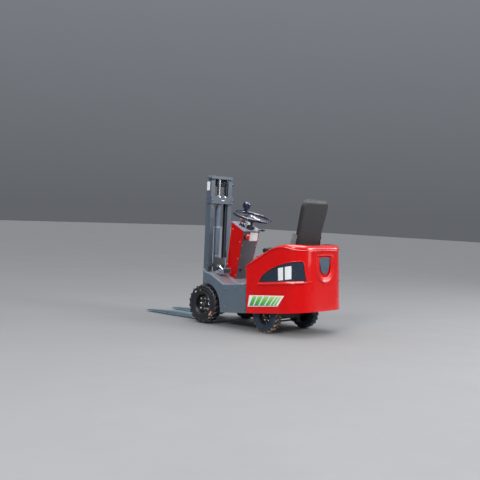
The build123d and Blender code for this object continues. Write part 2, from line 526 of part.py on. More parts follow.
# tilt cylinders
ax, az = TILT_A
bx, bz = TILT_B
L = math.hypot(bx - ax, bz - az)
ux, uz = (bx - ax) / L, (bz - az) / L
bars, rods = [], []
for s in (1, -1):
    y = s * TILT_Y
    def P(t):
        return (ax + ux * t, y, az + uz * t)
    b = rod_between(P(14), P(150), 22) + rod_y(ax, az, 18, y - 13, y + 13)
    b -= rod_y(ax, az, 9 + 0.05, y - 60, y + 60)
    b -= rod_between(P(20), P(160), 12.05)
    r = rod_between(P(60), P(L - 14), 12) + rod_y(bx, bz, 18, y - 11, y + 11)
    r -= rod_y(bx, bz, 11, y - 60, y + 60)
    bars.append(b)
    rods.append(r)
save("tilt_cylinder_barrels", bars)
save("tilt_cylinder_rods", rods)
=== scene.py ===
import bpy
import bmesh
import math
import random
from mathutils import Matrix, Vector


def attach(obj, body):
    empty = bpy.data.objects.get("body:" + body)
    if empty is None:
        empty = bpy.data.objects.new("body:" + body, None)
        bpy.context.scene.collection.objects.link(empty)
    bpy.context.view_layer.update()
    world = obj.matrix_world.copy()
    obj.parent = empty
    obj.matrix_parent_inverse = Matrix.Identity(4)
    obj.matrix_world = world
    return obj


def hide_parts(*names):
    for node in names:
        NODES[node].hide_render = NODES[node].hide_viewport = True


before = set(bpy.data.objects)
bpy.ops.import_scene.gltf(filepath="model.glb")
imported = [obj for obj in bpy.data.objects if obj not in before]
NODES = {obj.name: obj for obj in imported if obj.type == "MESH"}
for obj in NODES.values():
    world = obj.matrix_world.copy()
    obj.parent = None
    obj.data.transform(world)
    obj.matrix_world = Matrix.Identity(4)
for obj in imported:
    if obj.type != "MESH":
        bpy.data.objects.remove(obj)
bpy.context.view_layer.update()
scene = bpy.context.scene
scene.view_settings.view_transform = "Standard"
SX = 138.0  # the CAD stations below are millimetres from the front axle


def P(x, y, z):
    """Millimetres from the front axle to metres in the shared frame."""
    return Vector(((x + SX) / 1000.0, y / 1000.0, z / 1000.0))


# ------------------------------------------------------------------ camera
az, pitch, roll = math.radians(50.0), math.radians(-3.2), math.radians(2.6)
view_dir = Vector((math.cos(az) * math.cos(pitch), -math.sin(az) * math.cos(pitch), math.sin(pitch)))
right0 = Vector((-math.sin(az), -math.cos(az), 0))
up0 = right0.cross(view_dir)
cam_right = math.cos(roll) * right0 + math.sin(roll) * up0
cam_up = -math.sin(roll) * right0 + math.cos(roll) * up0
cam_data = bpy.data.cameras.new("camera")
cam = bpy.data.objects.new("camera", cam_data)
scene.collection.objects.link(cam)
rot = Matrix((cam_right, cam_up, -view_dir)).transposed()
cam.matrix_world = Matrix.Translation((-5.8285, 6.5083, 1.2047)) @ rot.to_4x4()
cam_data.sensor_width = 36.0
cam_data.sensor_fit = "HORIZONTAL"
cam_data.lens = 800.3 / 480 * 36.0
cam_data.shift_x = -0.05
cam_data.shift_y = 0.0375
cam_data.clip_start = 0.1
cam_data.clip_end = 100
scene.camera = cam


# ------------------------------------------------------------------ materials
def lin(c):
    """sRGB 0-255 to linear."""
    out = []
    for v in c:
        v = v / 255.0
        out.append(v / 12.92 if v <= 0.04045 else ((v + 0.055) / 1.055) ** 2.4)
    return out


def material(name, color, rough=0.5, metal=0.0, coat=0.0, coat_rough=0.05, vary=0.12, vary_scale=6.0, bump=0.0, bump_scale=200.0,
             rough_vary=0.08, dust=None, dust_top=0.35, dust_amount=0.5, spec=0.5, edge=None, edge_wear_and_glint_amount=0.0, round_edges=0.0,
             bump_kind="noise", stretch=None, fine=0.0, coat_ior=1.5):
    """Procedural finish: colour drift, roughness drift, fine bump, dust that thickens toward the ground, lighter edges:
    worn paint on most finishes, a painted glint on the tread rubber.
    """
    m = bpy.data.materials.new(name)
    m.use_nodes = True
    nt = m.node_tree
    nt.nodes.clear()
    out = nt.nodes.new("ShaderNodeOutputMaterial")
    bs = nt.nodes.new("ShaderNodeBsdfPrincipled")
    nt.links.new(bs.outputs[0], out.inputs[0])
    bs.inputs["Metallic"].default_value = metal
    bs.inputs["Coat Weight"].default_value = coat
    bs.inputs["Coat Roughness"].default_value = coat_rough
    bs.inputs["Specular IOR Level"].default_value = spec
    bs.inputs["Coat IOR"].default_value = coat_ior
    tc = nt.nodes.new("ShaderNodeTexCoord")
    mp = nt.nodes.new("ShaderNodeMapping")
    if stretch:
        mp.inputs["Scale"].default_value = stretch
    nt.links.new(tc.outputs["Object"], mp.inputs[0])

    def noise(scale, detail=4.0, rough_=0.6):
        n = nt.nodes.new("ShaderNodeTexNoise")
        n.inputs["Scale"].default_value = scale
        n.inputs["Detail"].default_value = detail
        n.inputs["Roughness"].default_value = rough_
        nt.links.new(mp.outputs[0], n.inputs["Vector"])
        return n

    def mix(fac, a, b, blend="MIX"):
        x = nt.nodes.new("ShaderNodeMix")
        x.data_type = "RGBA"
        x.blend_type = blend
        for sock, v in ((x.inputs["Factor"], fac), (x.inputs["A"], a), (x.inputs["B"], b)):
            if hasattr(v, "is_output"):
                nt.links.new(v, sock)
            elif isinstance(v, (int, float)):
                sock.default_value = v
            else:
                sock.default_value = (*v[:3], 1)
        return x.outputs["Result"]

    def ramp(v, a, b, c=0.0, d=1.0):
        r = nt.nodes.new("ShaderNodeMapRange")
        r.inputs["From Min"].default_value = a
        r.inputs["From Max"].default_value = b
        r.inputs["To Min"].default_value = c
        r.inputs["To Max"].default_value = d
        nt.links.new(v, r.inputs["Value"])
        return r.outputs["Result"]

    def math_(op, a, b=None):
        x = nt.nodes.new("ShaderNodeMath")
        x.operation = op
        for sock, v in zip(x.inputs, (a, b)):
            if v is None:
                continue
            if hasattr(v, "is_output"):
                nt.links.new(v, sock)
            else:
                sock.default_value = v
        return x.outputs[0]

    base = noise(vary_scale)
    dark = [v * (1 - vary) for v in color]
    light = [min(1.0, v * (1 + vary)) for v in color]
    col = mix(ramp(base.outputs["Fac"], 0.3, 0.7), dark, light)
    if fine:
        f = noise(900.0, 2.0)
        col = mix(ramp(f.outputs["Fac"], 0.45, 0.75, 0.0, fine), col, [min(1, v * 2.2 + 0.03) for v in color])
    r2 = noise(vary_scale * 2.7, 5.0)
    rgh = ramp(r2.outputs["Fac"], 0.3, 0.7, max(0.02, rough - rough_vary), min(1, rough + rough_vary))
    # lighter colour on the edges: worn paint on most finishes, a painted glint on the tread rubber
    if edge is not None:
        geo = nt.nodes.new("ShaderNodeNewGeometry")
        bw = nt.nodes.new("ShaderNodeBevel")
        bw.samples = 4
        bw.inputs["Radius"].default_value = 0.004
        dt = nt.nodes.new("ShaderNodeVectorMath")
        dt.operation = "DOT_PRODUCT"
        nt.links.new(bw.outputs[0], dt.inputs[0])
        nt.links.new(geo.outputs["Normal"], dt.inputs[1])
        p = ramp(dt.outputs["Value"], 0.985, 0.88)
        n3 = noise(60.0, 6.0)
        w = math_("MULTIPLY", p, ramp(n3.outputs["Fac"], 0.4, 0.65))
        w = math_("MULTIPLY", w, edge_wear_and_glint_amount)
        col = mix(w, col, edge)
    if dust is not None:
        sep = nt.nodes.new("ShaderNodeSeparateXYZ")
        nt.links.new(tc.outputs["Object"], sep.inputs[0])
        h = ramp(sep.outputs["Z"], dust_top, 0.0)
        n4 = noise(26.0, 8.0, 0.7)
        w = math_("MULTIPLY", h, ramp(n4.outputs["Fac"], 0.35, 0.72))
        w = math_("MULTIPLY", w, dust_amount)
        col = mix(w, col, dust)
        rgh = math_("ADD", rgh, math_("MULTIPLY", w, 0.4))
    nt.links.new(col, bs.inputs["Base Color"])
    nt.links.new(rgh, bs.inputs["Roughness"])
    last = None
    if round_edges:
        bv = nt.nodes.new("ShaderNodeBevel")
        bv.samples = 4
        bv.inputs["Radius"].default_value = round_edges
        last = bv.outputs[0]
    if bump:
        if bump_kind == "voronoi":
            n5 = nt.nodes.new("ShaderNodeTexVoronoi")
            n5.inputs["Scale"].default_value = bump_scale
            nt.links.new(mp.outputs[0], n5.inputs["Vector"])
            src = n5.outputs["Distance"]
        else:
            n5 = noise(bump_scale, 3.0)
            src = n5.outputs["Fac"]
        b = nt.nodes.new("ShaderNodeBump")
        b.inputs["Strength"].default_value = bump
        b.inputs["Distance"].default_value = 0.001
        nt.links.new(src, b.inputs["Height"])
        if last is not None:
            nt.links.new(last, b.inputs["Normal"])
        last = b.outputs[0]
    if last is not None:
        nt.links.new(last, bs.inputs["Normal"])
    return m


DUST = lin((150, 132, 108))
M = {}
M["body_red"] = material("gloss_red_shell", [0.66, 0.0006, 0.0010], 0.28, 0, 0.8, 0.05, vary=0.04, vary_scale=2.2, bump=0.03, bump_scale=30.0,
                         dust=lin((150, 50, 38)), dust_top=0.26, dust_amount=0.25, rough_vary=0.04, round_edges=0.005, spec=0.15, coat_ior=1.5)
M["panel_red"] = material("satin_red_sheet", [0.56, 0.0015, 0.0015], 0.36, 0, 0.12, 0.2, vary=0.07, vary_scale=3.0, bump=0.06, bump_scale=300.0,
                          round_edges=0.002, spec=0.15)
M["inset"] = material("blue_grey_gloss", lin((38, 50, 64)), 0.25, 0, 0.45, 0.06, vary=0.15, vary_scale=3.0, bump=0.03, bump_scale=40.0, spec=0.35)
M["recess_grey"] = material("recess_grey", lin((66, 80, 96)), 0.38, 0, 0.3, 0.2, vary=0.12, vary_scale=14.0, bump=0.05, bump_scale=200.0, round_edges=0.003)
M["chassis"] = material("chassis_blue_grey", lin((86, 100, 113)), 0.42, 0.0, 0.2, 0.25, vary=0.08, vary_scale=3.5, bump=0.05, bump_scale=420.0,
                        dust=DUST, dust_top=0.30, dust_amount=0.22, edge=lin((165, 172, 182)), edge_wear_and_glint_amount=0.55, round_edges=0.004)
# lighter copy of the chassis paint for the top flange strip: a painted highlight
M["chassis_flange_highlight"] = material("chassis_flange_painted_highlight", lin((118, 136, 152)), 0.4, 0.0, 0.2, 0.25, vary=0.08, vary_scale=6.0, bump=0.05, bump_scale=400.0)
M["mast"] = material("mast_blue_grey", lin((80, 92, 105)), 0.42, 0.0, 0.2, 0.25, vary=0.09, vary_scale=5.0, bump=0.05, bump_scale=380.0,
                     edge=lin((150, 156, 165)), edge_wear_and_glint_amount=0.45, round_edges=0.003, stretch=(1, 1, 0.35))
M["mast_inner"] = material("inner_mast_dark", lin((60, 66, 76)), 0.38, 0.1, 0.1, 0.3, vary=0.15, vary_scale=6.0, bump=0.08, bump_scale=300.0,
                           round_edges=0.002, stretch=(1, 1, 0.2))
# floor plate: mauve grey base with pinkish blotches, partly dust and partly a painted reflection of the red body
M["floor"] = material("floor_plate_grey_pink_reflection", lin((128, 122, 130)), 0.4, 0.25, 0.0, vary=0.14, vary_scale=9.0, bump=0.35, bump_scale=500.0,
                      dust=lin((150, 120, 110)), dust_top=0.75, dust_amount=0.35, fine=0.15)
M["charcoal"] = material("charcoal_paint", lin((78, 77, 84)), 0.46, 0.0, 0.15, 0.3, vary=0.1, vary_scale=6.0, bump=0.25, bump_scale=700.0, round_edges=0.002)
M["dash"] = material("dash_light_grey", lin((170, 172, 196)), 0.36, 0.15, 0.1, 0.2, vary=0.08, vary_scale=8.0, bump=0.1, bump_scale=500.0, round_edges=0.002)
M["vinyl"] = material("seat_vinyl", lin((31, 32, 37)), 0.46, 0, 0.0, vary=0.12, vary_scale=5.0, bump=0.5, bump_scale=520.0, bump_kind="voronoi",
                      rough_vary=0.1, fine=0.05)
M["seat_shell"] = material("seat_back_shell", lin((17, 18, 24)), 0.62, 0, 0.0, vary=0.12, vary_scale=4.0, bump=0.35, bump_scale=650.0)
M["piping"] = material("seat_piping", lin((34, 35, 41)), 0.6, 0, 0.0, vary=0.1, vary_scale=20.0, bump=0.2, bump_scale=900.0)
M["black"] = material("black_plastic", lin((26, 27, 30)), 0.42, 0, 0.0, vary=0.15, vary_scale=10.0, bump=0.2, bump_scale=600.0)
M["navy"] = material("wheel_navy_black", lin((14, 24, 56)), 0.2, 0, 0.5, 0.08, vary=0.15, vary_scale=12.0, bump=0.08, bump_scale=300.0)
M["hose"] = material("hose_rubber", lin((22, 30, 44)), 0.34, 0, 0.1, 0.2, vary=0.2, vary_scale=14.0, bump=0.25, bump_scale=900.0)
# lighter rubber for the raised wall rings: a painted highlight
M["tyre_ring_highlight"] = material("tyre_wall_ring_painted_highlight", lin((58, 61, 70)), 0.36, 0, 0.0, vary=0.3, vary_scale=14.0, bump=0.2, bump_scale=420.0)
M["tyre"] = material("tyre_rubber", lin((22, 23, 28)), 0.4, 0, 0.0, vary=0.2, vary_scale=9.0, bump=0.25, bump_scale=420.0,
                     rough_vary=0.1, dust=lin((92, 84, 74)), dust_top=0.42, dust_amount=0.16)
# rear tyre rubber: the blue tint of its base colour is a painted sky reflection on black rubber
M["tyre_rear_sky_tint"] = material("tyre_rubber_rear_painted_sky_tint", lin((30, 50, 68)), 0.5, 0, 0.0, vary=0.2, vary_scale=9.0, bump=0.3, bump_scale=420.0,
                          rough_vary=0.12, dust=lin((104, 98, 90)), dust_top=0.3, dust_amount=0.25)
M["lug_dusty"] = material("tread_dusty", lin((146, 118, 94)), 0.85, 0, 0.0, vary=0.6, vary_scale=34.0, bump=0.8, bump_scale=180.0,
                          edge=lin((200, 176, 148)), edge_wear_and_glint_amount=0.7)
# tread rubber: its lighter lug edges are a painted glint, not wear
M["lug"] = material("tread_rubber_painted_glint_edges", lin((26, 26, 30)), 0.5, 0, 0.0, vary=0.3, vary_scale=24.0, bump=0.5, bump_scale=260.0,
                    edge=lin((150, 150, 156)), edge_wear_and_glint_amount=0.8, dust=lin((92, 84, 74)), dust_top=0.42, dust_amount=0.2)
M["rim"] = material("rim_gloss_black", lin((30, 32, 36)), 0.3, 0.2, 0.4, 0.12, vary=0.2, vary_scale=20.0, bump=0.06, bump_scale=300.0,
                    dust=lin((110, 100, 88)), dust_top=0.35, dust_amount=0.2)
# lighter grey for the rim's rolled lip and hole rims: a painted highlight on the black rim
M["rim_edge_highlight"] = material("rim_flange_painted_highlight", lin((62, 66, 72)), 0.34, 0.3, 0.3, 0.15, vary=0.2, vary_scale=20.0, bump=0.06, bump_scale=300.0)
M["axle"] = material("axle_black", lin((24, 24, 27)), 0.5, 0.1, 0.0, vary=0.25, vary_scale=12.0, bump=0.4, bump_scale=160.0,
                     dust=lin((92, 82, 70)), dust_top=0.3, dust_amount=0.4, round_edges=0.003)
M["iron"] = material("counterweight_iron", lin((52, 52, 55)), 0.7, 0.2, 0.0, vary=0.2, vary_scale=8.0, bump=0.8, bump_scale=90.0)
M["battery"] = material("battery_case", lin((30, 31, 34)), 0.6, 0, 0.0, vary=0.15, vary_scale=6.0, bump=0.2, bump_scale=300.0)
M["zinc"] = material("bright_zinc", lin((205, 206, 208)), 0.28, 1.0, 0.0, vary=0.12, vary_scale=40.0, bump=0.1, bump_scale=700.0)
M["chrome"] = material("hard_chrome", lin((205, 208, 212)), 0.24, 1.0, 0.0, vary=0.05, vary_scale=10.0, rough_vary=0.03)
# silver: the real hub, and a painted highlight on one spoke
M["silver"] = material("silver_hub_and_spoke_highlight", lin((205, 210, 218)), 0.2, 0.85, 0.2, 0.1, vary=0.06, vary_scale=18.0, rough_vary=0.05)
M["cylinder"] = material("cylinder_blue_grey", lin((118, 132, 152)), 0.36, 0.1, 0.2, 0.2, vary=0.08, vary_scale=6.0, bump=0.06, bump_scale=300.0,
                         round_edges=0.002)
M["chain"] = material("oiled_chain", lin((44, 46, 52)), 0.5, 0.8, 0.0, vary=0.3, vary_scale=60.0, bump=0.3, bump_scale=300.0)
M["brass"] = material("brass_fitting", lin((128, 106, 84)), 0.35, 0.9, 0.0, vary=0.15, vary_scale=40.0)
M["fork"] = material("fork_steel_blue", lin((104, 138, 156)), 0.36, 0.35, 0.1, 0.2, vary=0.12, vary_scale=5.0, bump=0.15, bump_scale=240.0,
                     edge=lin((176, 186, 194)), edge_wear_and_glint_amount=0.6, stretch=(0.3, 1, 1), round_edges=0.003)
M["white"] = material("white_vinyl", lin((236, 238, 240)), 0.4, 0, 0.2, 0.2, vary=0.03, vary_scale=20.0, rough_vary=0.04)
M["green"] = material("green_vinyl", lin((52, 176, 64)), 0.4, 0, 0.2, 0.2, vary=0.3, vary_scale=7.0, rough_vary=0.04)
gm = M["green"].node_tree
gtc, gsep, gmap, gramp = (gm.nodes.new(k) for k in ("ShaderNodeTexCoord", "ShaderNodeSeparateXYZ", "ShaderNodeMapRange", "ShaderNodeValToRGB"))
gm.links.new(gtc.outputs["Object"], gsep.inputs[0])
gm.links.new(gsep.outputs["Z"], gmap.inputs["Value"])
gmap.inputs["From Min"].default_value = 0.262
gmap.inputs["From Max"].default_value = 0.405
gm.links.new(gmap.outputs["Result"], gramp.inputs[0])
gramp.color_ramp.elements[0].color = (*lin((22, 128, 52)), 1)
gramp.color_ramp.elements[1].color = (*lin((206, 226, 130)), 1)
mid_ = gramp.color_ramp.elements.new(0.5)
mid_.color = (*lin((96, 190, 84)), 1)
gb = next(n for n in gm.nodes if n.type == "BSDF_PRINCIPLED")
gm.links.new(gramp.outputs[0], gb.inputs["Base Color"])
# pink print colour: border of the blank knee-panel plate, and a painted highlight on the +y dash edging
M["pink_print_and_highlight"] = material("red_print_and_edge_highlight", lin((214, 90, 104)), 0.45, 0, 0.0, vary=0.05, vary_scale=20.0)
M["knob_red"] = material("knob_red", lin((226, 28, 26)), 0.22, 0, 0.6, 0.06, vary=0.05, vary_scale=20.0)
M["knob_orange"] = material("knob_orange", lin((226, 132, 74)), 0.3, 0, 0.4, 0.1, vary=0.08, vary_scale=30.0)
M["knob_purple"] = material("knob_purple", lin((150, 60, 110)), 0.3, 0, 0.4, 0.1, vary=0.08, vary_scale=30.0)
M["blue_lamp"] = material("blue_roller", lin((18, 44, 104)), 0.25, 0, 0.5, 0.08, vary=0.2, vary_scale=30.0)
M["yellow"] = material("yellow_mark", lin((222, 190, 40)), 0.5, 0, 0.0, vary=0.1, vary_scale=60.0)
M["orange_mark"] = material("orange_mark", lin((224, 150, 120)), 0.5, 0, 0.0, vary=0.1, vary_scale=60.0)
M["pedal"] = material("pedal_grey", lin((140, 148, 164)), 0.4, 0.2, 0.0, vary=0.1, vary_scale=20.0, bump=0.15, bump_scale=300.0, round_edges=0.002)
M["rubber"] = material("black_rubber", lin((24, 25, 27)), 0.66, 0, 0.0, vary=0.15, vary_scale=20.0, bump=0.3, bump_scale=500.0)
M["dial"] = material("dial_face", lin((214, 218, 220)), 0.3, 0, 0.6, 0.05, vary=0.03, vary_scale=30.0)
M["groove"] = material("shadow_line", [0.09, 0.002, 0.003], 0.5, 0, 0.1, 0.2, vary=0.1, vary_scale=10.0)

CAD_MATERIALS = {
    "chassis_frame": "chassis", "floor_plate": "floor", "rear_body_shell": "body_red", "side_inset_panels": "inset", "tail_recess_panel": "recess_grey",
    "battery_box_front_panel": "panel_red", "battery_block": "battery", "counterweight_block": "iron", "front_drive_axle": "axle", "rear_axle_beam": "axle",
    "console_side_panels": "panel_red", "console_knee_panel": "charcoal", "console_front_panel": "charcoal", "dash_panel": "dash",
    "steering_column": "black", "control_levers": "black", "emergency_stop_knob": "knob_red", "pedals": "pedal", "seat_deck": "panel_red",
    "seat_rails": "zinc", "seat_cushion": "vinyl", "seat_backrest": "vinyl", "steering_wheel": "navy", "rear_left_knuckle": "axle",
    "rear_right_knuckle": "axle", "steering_tie_rod": "axle", "outer_mast": "mast", "mast_guard_plate": "charcoal", "lift_cylinder_barrel": "cylinder",
    "lift_chain_rear": "chain", "inner_mast": "mast_inner", "lift_cylinder_rod": "chrome", "lift_chain_front": "chain", "fork_carriage": "mast",
    "fork_left": "fork", "fork_right": "fork", "tilt_cylinder_barrels": "cylinder", "tilt_cylinder_rods": "chrome",
}
for side_ in ("left", "right"):
    for end in ("front", "rear"):
        CAD_MATERIALS[f"{end}_{side_}_tyre"] = "tyre"
        CAD_MATERIALS[f"{end}_{side_}_rim"] = "rim"
for node, key in CAD_MATERIALS.items():
    if node in NODES:
        o = NODES[node]
        o.data.materials.clear()
        o.data.materials.append(M[key])


head = NODES["inner_mast"].data
head.materials.append(M["mast"])
for p in head.polygons:
    if p.center.z > 1.5575:
        p.material_index = 1


# ------------------------------------------------------------------ mesh helpers
def add(name, verts, faces, mat, body, smooth=True, auto=35.0, replaces=(), slot=None, mats=None, face_mats=None):
    me = bpy.data.meshes.new(name)
    me.from_pydata([tuple(v) for v in verts], [], faces)
    me.validate()
    ob = bpy.data.objects.new(name, me)
    scene.collection.objects.link(ob)
    for k in (mats or [mat]):
        me.materials.append(M[k])
    if face_mats:
        for p, i in zip(me.polygons, face_mats):
            p.material_index = i
    bm = bmesh.new()
    bm.from_mesh(me)
    bmesh.ops.recalc_face_normals(bm, faces=bm.faces)
    if smooth:
        lim = math.radians(auto)
        for e in bm.edges:
            e.smooth = not (len(e.link_faces) == 2 and e.calc_face_angle(0) > lim)
    bm.to_mesh(me)
    bm.free()
    for p in me.polygons:
        p.use_smooth = smooth
    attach(ob, body)
    if replaces:
        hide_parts(*replaces)
    return ob


def apply_modifiers(ob):
    dg = bpy.context.evaluated_depsgraph_get()
    me = bpy.data.meshes.new_from_object(ob.evaluated_get(dg), depsgraph=dg)
    ob.modifiers.clear()
    ob.data = me
    for p in me.polygons:
        p.use_smooth = True
    return ob


class Batch:
    """Collects many small closed parts into one mesh."""

    def __init__(self):
        self.v, self.f, self.m = [], [], []

    def put(self, verts, faces, mi=0):
        n = len(self.v)
        self.v += [Vector(v) for v in verts]
        self.f += [tuple(i + n for i in f) for f in faces]
        self.m += [mi] * len(faces)

    def box(self, a, b, mi=0, bevel=0.0):
        """Box between two corners in metres, with bevelled edges."""
        bm = bmesh.new()
        bmesh.ops.create_cube(bm, size=1.0)
        c = (Vector(a) + Vector(b)) / 2
        s = Vector(b) - Vector(a)
        for v in bm.verts:
            v.co = Vector((v.co.x * abs(s.x) + c.x, v.co.y * abs(s.y) + c.y, v.co.z * abs(s.z) + c.z))
        if bevel:
            bmesh.ops.bevel(bm, geom=bm.edges[:], offset=bevel, segments=2, profile=0.7, affect="EDGES")
        bm.verts.index_update()
        self.put([v.co.copy() for v in bm.verts], [[v.index for v in f.verts] for f in bm.faces], mi)
        bm.free()

    def lathe(self, profile, origin, axis, n=24, mi=0):
        """Closed or open profile of (along, radius) turned about axis through origin."""
        axis = Vector(axis).normalized()
        t = axis.cross(Vector((0, 0, 1)))
        if t.length < 0.1:
            t = axis.cross(Vector((1, 0, 0)))
        t.normalize()
        b = axis.cross(t)
        verts, faces, rows = [], [], []
        for a, r in profile:
            if r < 1e-7:
                rows.append([len(verts)])
                verts.append(Vector(origin) + axis * a)
            else:
                rows.append(list(range(len(verts), len(verts) + n)))
                for i in range(n):
                    w = 2 * math.pi * i / n
                    verts.append(Vector(origin) + axis * a + (t * math.cos(w) + b * math.sin(w)) * r)
        for p, q in zip(rows, rows[1:]):
            if len(p) == 1 and len(q) == 1:
                continue
            for i in range(n):
                j = (i + 1) % n
                if len(p) == 1:
                    faces.append((p[0], q[j], q[i]))
                elif len(q) == 1:
                    faces.append((p[i], p[j], q[0]))
                else:
                    faces.append((p[i], p[j], q[j], q[i]))
        self.put(verts, faces, mi)

    def bolt(self, at, normal, r, h, mi=0, washer=True, turn=0.0):
        """Hex head with a chamfer on a washer."""
        normal = Vector(normal).normalized()
        t = normal.cross(Vector((0, 0, 1)))
        if t.length < 0.1:
            t = normal.cross(Vector((1, 0, 0)))
        t.normalize()
        b = normal.cross(t)
        at = Vector(at)
        if washer:
            self.lathe([(-0.0004, 0), (-0.0004, r * 1.35), (h * 0.18, r * 1.35), (h * 0.22, r * 1.25), (h * 0.22, 0)], at, normal, 20, mi)
        verts, faces = [], []
        for z, k in ((h * 0.2, 1.0), (h * 0.88, 1.0), (h, 0.86)):
            for i in range(6):
                w = math.pi / 3 * i + turn
                verts.append(at + normal * z + (t * math.cos(w) + b * math.sin(w)) * r * k)
        for s in (0, 6):
            for i in range(6):
                j = (i + 1) % 6
                faces.append((s + i, s + j, s + 6 + j, s + 6 + i))
        faces.append((12, 13, 14, 15, 16, 17))
        faces.append((5, 4, 3, 2, 1, 0))
        self.put(verts, faces, mi)

    def sphere(self, c, r, mi=0, n=20, squash=1.0, axis=(0, 0, 1)):
        k = 10
        prof = [(-r * squash * math.cos(math.pi * i / k), r * math.sin(math.pi * i / k)) for i in range(k + 1)]
        prof = [(a, 0 if abs(q) < 1e-6 else q) for a, q in prof]
        self.lathe(prof, c, axis, n, mi)

    def tube(self, pts, r, mi=0, n=12, closed=False, radii=None, cap=True):
        pts = [Vector(p) for p in pts]
        m = len(pts)
        tang = []
        for i in range(m):
            if closed:
                d = pts[(i + 1) % m] - pts[i - 1]
            else:
                d = pts[min(i + 1, m - 1)] - pts[max(i - 1, 0)]
            tang.append(d.normalized())
        ref = Vector((0, 0, 1)) if abs(tang[0].z) < 0.9 else Vector((1, 0, 0))
        nrm = (ref - tang[0] * ref.dot(tang[0])).normalized()
        verts, faces = [], []
        for i in range(m):
            nrm = (nrm - tang[i] * nrm.dot(tang[i])).normalized()
            bi = tang[i].cross(nrm)
            rr = radii[i] if radii else r
            for k in range(n):
                w = 2 * math.pi * k / n
                verts.append(pts[i] + (nrm * math.cos(w) + bi * math.sin(w)) * rr)
        last = m if closed else m - 1
        for i in range(last):
            a, b = i * n, ((i + 1) % m) * n
            for k in range(n):
                k2 = (k + 1) % n
                faces.append((a + k, a + k2, b + k2, b + k))
        if not closed and cap:
            faces.append(tuple(range(n - 1, -1, -1)))
            faces.append(tuple((m - 1) * n + k for k in range(n)))
        self.put(verts, faces, mi)

    def prism(self, outline, thick, origin, ux, uy, mi=0, lift=0.0):
        """Outline in two directions, made thick along their normal, with a small chamfer on the outer face."""
        ux, uy = Vector(ux).normalized(), Vector(uy).normalized()
        nz = ux.cross(uy).normalized()
        o = Vector(origin) + nz * lift
        k = len(outline)
        cx = sum(p[0] for p in outline) / k
        cy = sum(p[1] for p in outline) / k
        ch = min(thick * 0.4, 0.0012)
        verts = []
        for z, s in ((0, 0), (thick - ch, 0), (thick, ch)):
            for x, y in outline:
                d = math.hypot(x - cx, y - cy) or 1
                q = 1 - s / d
                verts.append(o + ux * (cx + (x - cx) * q) + uy * (cy + (y - cy) * q) + nz * z)
        faces = [tuple(range(k - 1, -1, -1)), tuple(range(2 * k, 3 * k))]
        for s in (0, k):
            for i in range(k):
                j = (i + 1) % k
                faces.append((s + i, s + j, s + k + j, s + k + i))
        self.put(verts, faces, mi)

    def mark(self, line, h, depth, mi=0):
        """Flat raised strip along (point, normal) pairs."""
        m = len(line)
        verts, faces = [], []
        for i in range(m):
            t = (line[min(i + 1, m - 1)][0] - line[max(i - 1, 0)][0]).normalized()
            nn = line[i][1]
            b = nn.cross(t).normalized()
            for u, v in ((-h, -1.5), (-h, depth * 0.8), (-h * 0.9, depth), (h * 0.9, depth), (h, depth * 0.8), (h, -1.5)):
                verts.append(line[i][0] + b * u / 1000 + nn * v / 1000)
        for i in range(m - 1):
            for k in range(6):
                k2 = (k + 1) % 6
                faces.append((i * 6 + k, i * 6 + k2, i * 6 + 6 + k2, i * 6 + 6 + k))
        faces.append((5, 4, 3, 2, 1, 0))
        faces.append(tuple((m - 1) * 6 + k for k in range(6)))
        self.put(verts, faces, mi)

    def make(self, name, mats, body, auto=35.0, **kw):
        mats = [mats] if isinstance(mats, str) else list(mats)
        return add(name, self.v, self.f, None, body, auto=auto, mats=mats, face_mats=self.m, **kw)


def smooth_path(pts, steps=8, closed=False):
    """Catmull-Rom through the points."""
    pts = [Vector(p) for p in pts]
    n = len(pts)
    out = []
    rng = range(n) if closed else range(n - 1)
    for i in rng:
        if closed:
            p0, p1, p2, p3 = pts[i - 1], pts[i], pts[(i + 1) % n], pts[(i + 2) % n]
        else:
            p0, p1, p2, p3 = pts[max(i - 1, 0)], pts[i], pts[i + 1], pts[min(i + 2, n - 1)]
        for s in range(steps):
            t = s / steps
            out.append(0.5 * ((2 * p1) + (p2 - p0) * t + (2 * p0 - 5 * p1 + 4 * p2 - p3) * t * t + (3 * p1 - p0 - 3 * p2 + p3) * t ** 3))
    if not closed:
        out.append(pts[-1])
    return out


def round_poly(pts, r, seg=5):
    """2-D outline with rounded corners."""
    out = []
    n = len(pts)
    for i in range(n):
        p, a, b = Vector(pts[i]), Vector(pts[i - 1]), Vector(pts[(i + 1) % n])
        da, db = (a - p), (b - p)
        rr = min(r, da.length * 0.45, db.length * 0.45)
        pa, pb = p + da.normalized() * rr, p + db.normalized() * rr
        for k in range(seg + 1):
            t = k / seg
            out.append(tuple((1 - t) ** 2 * pa + 2 * t * (1 - t) * p + t * t * pb))
    return out


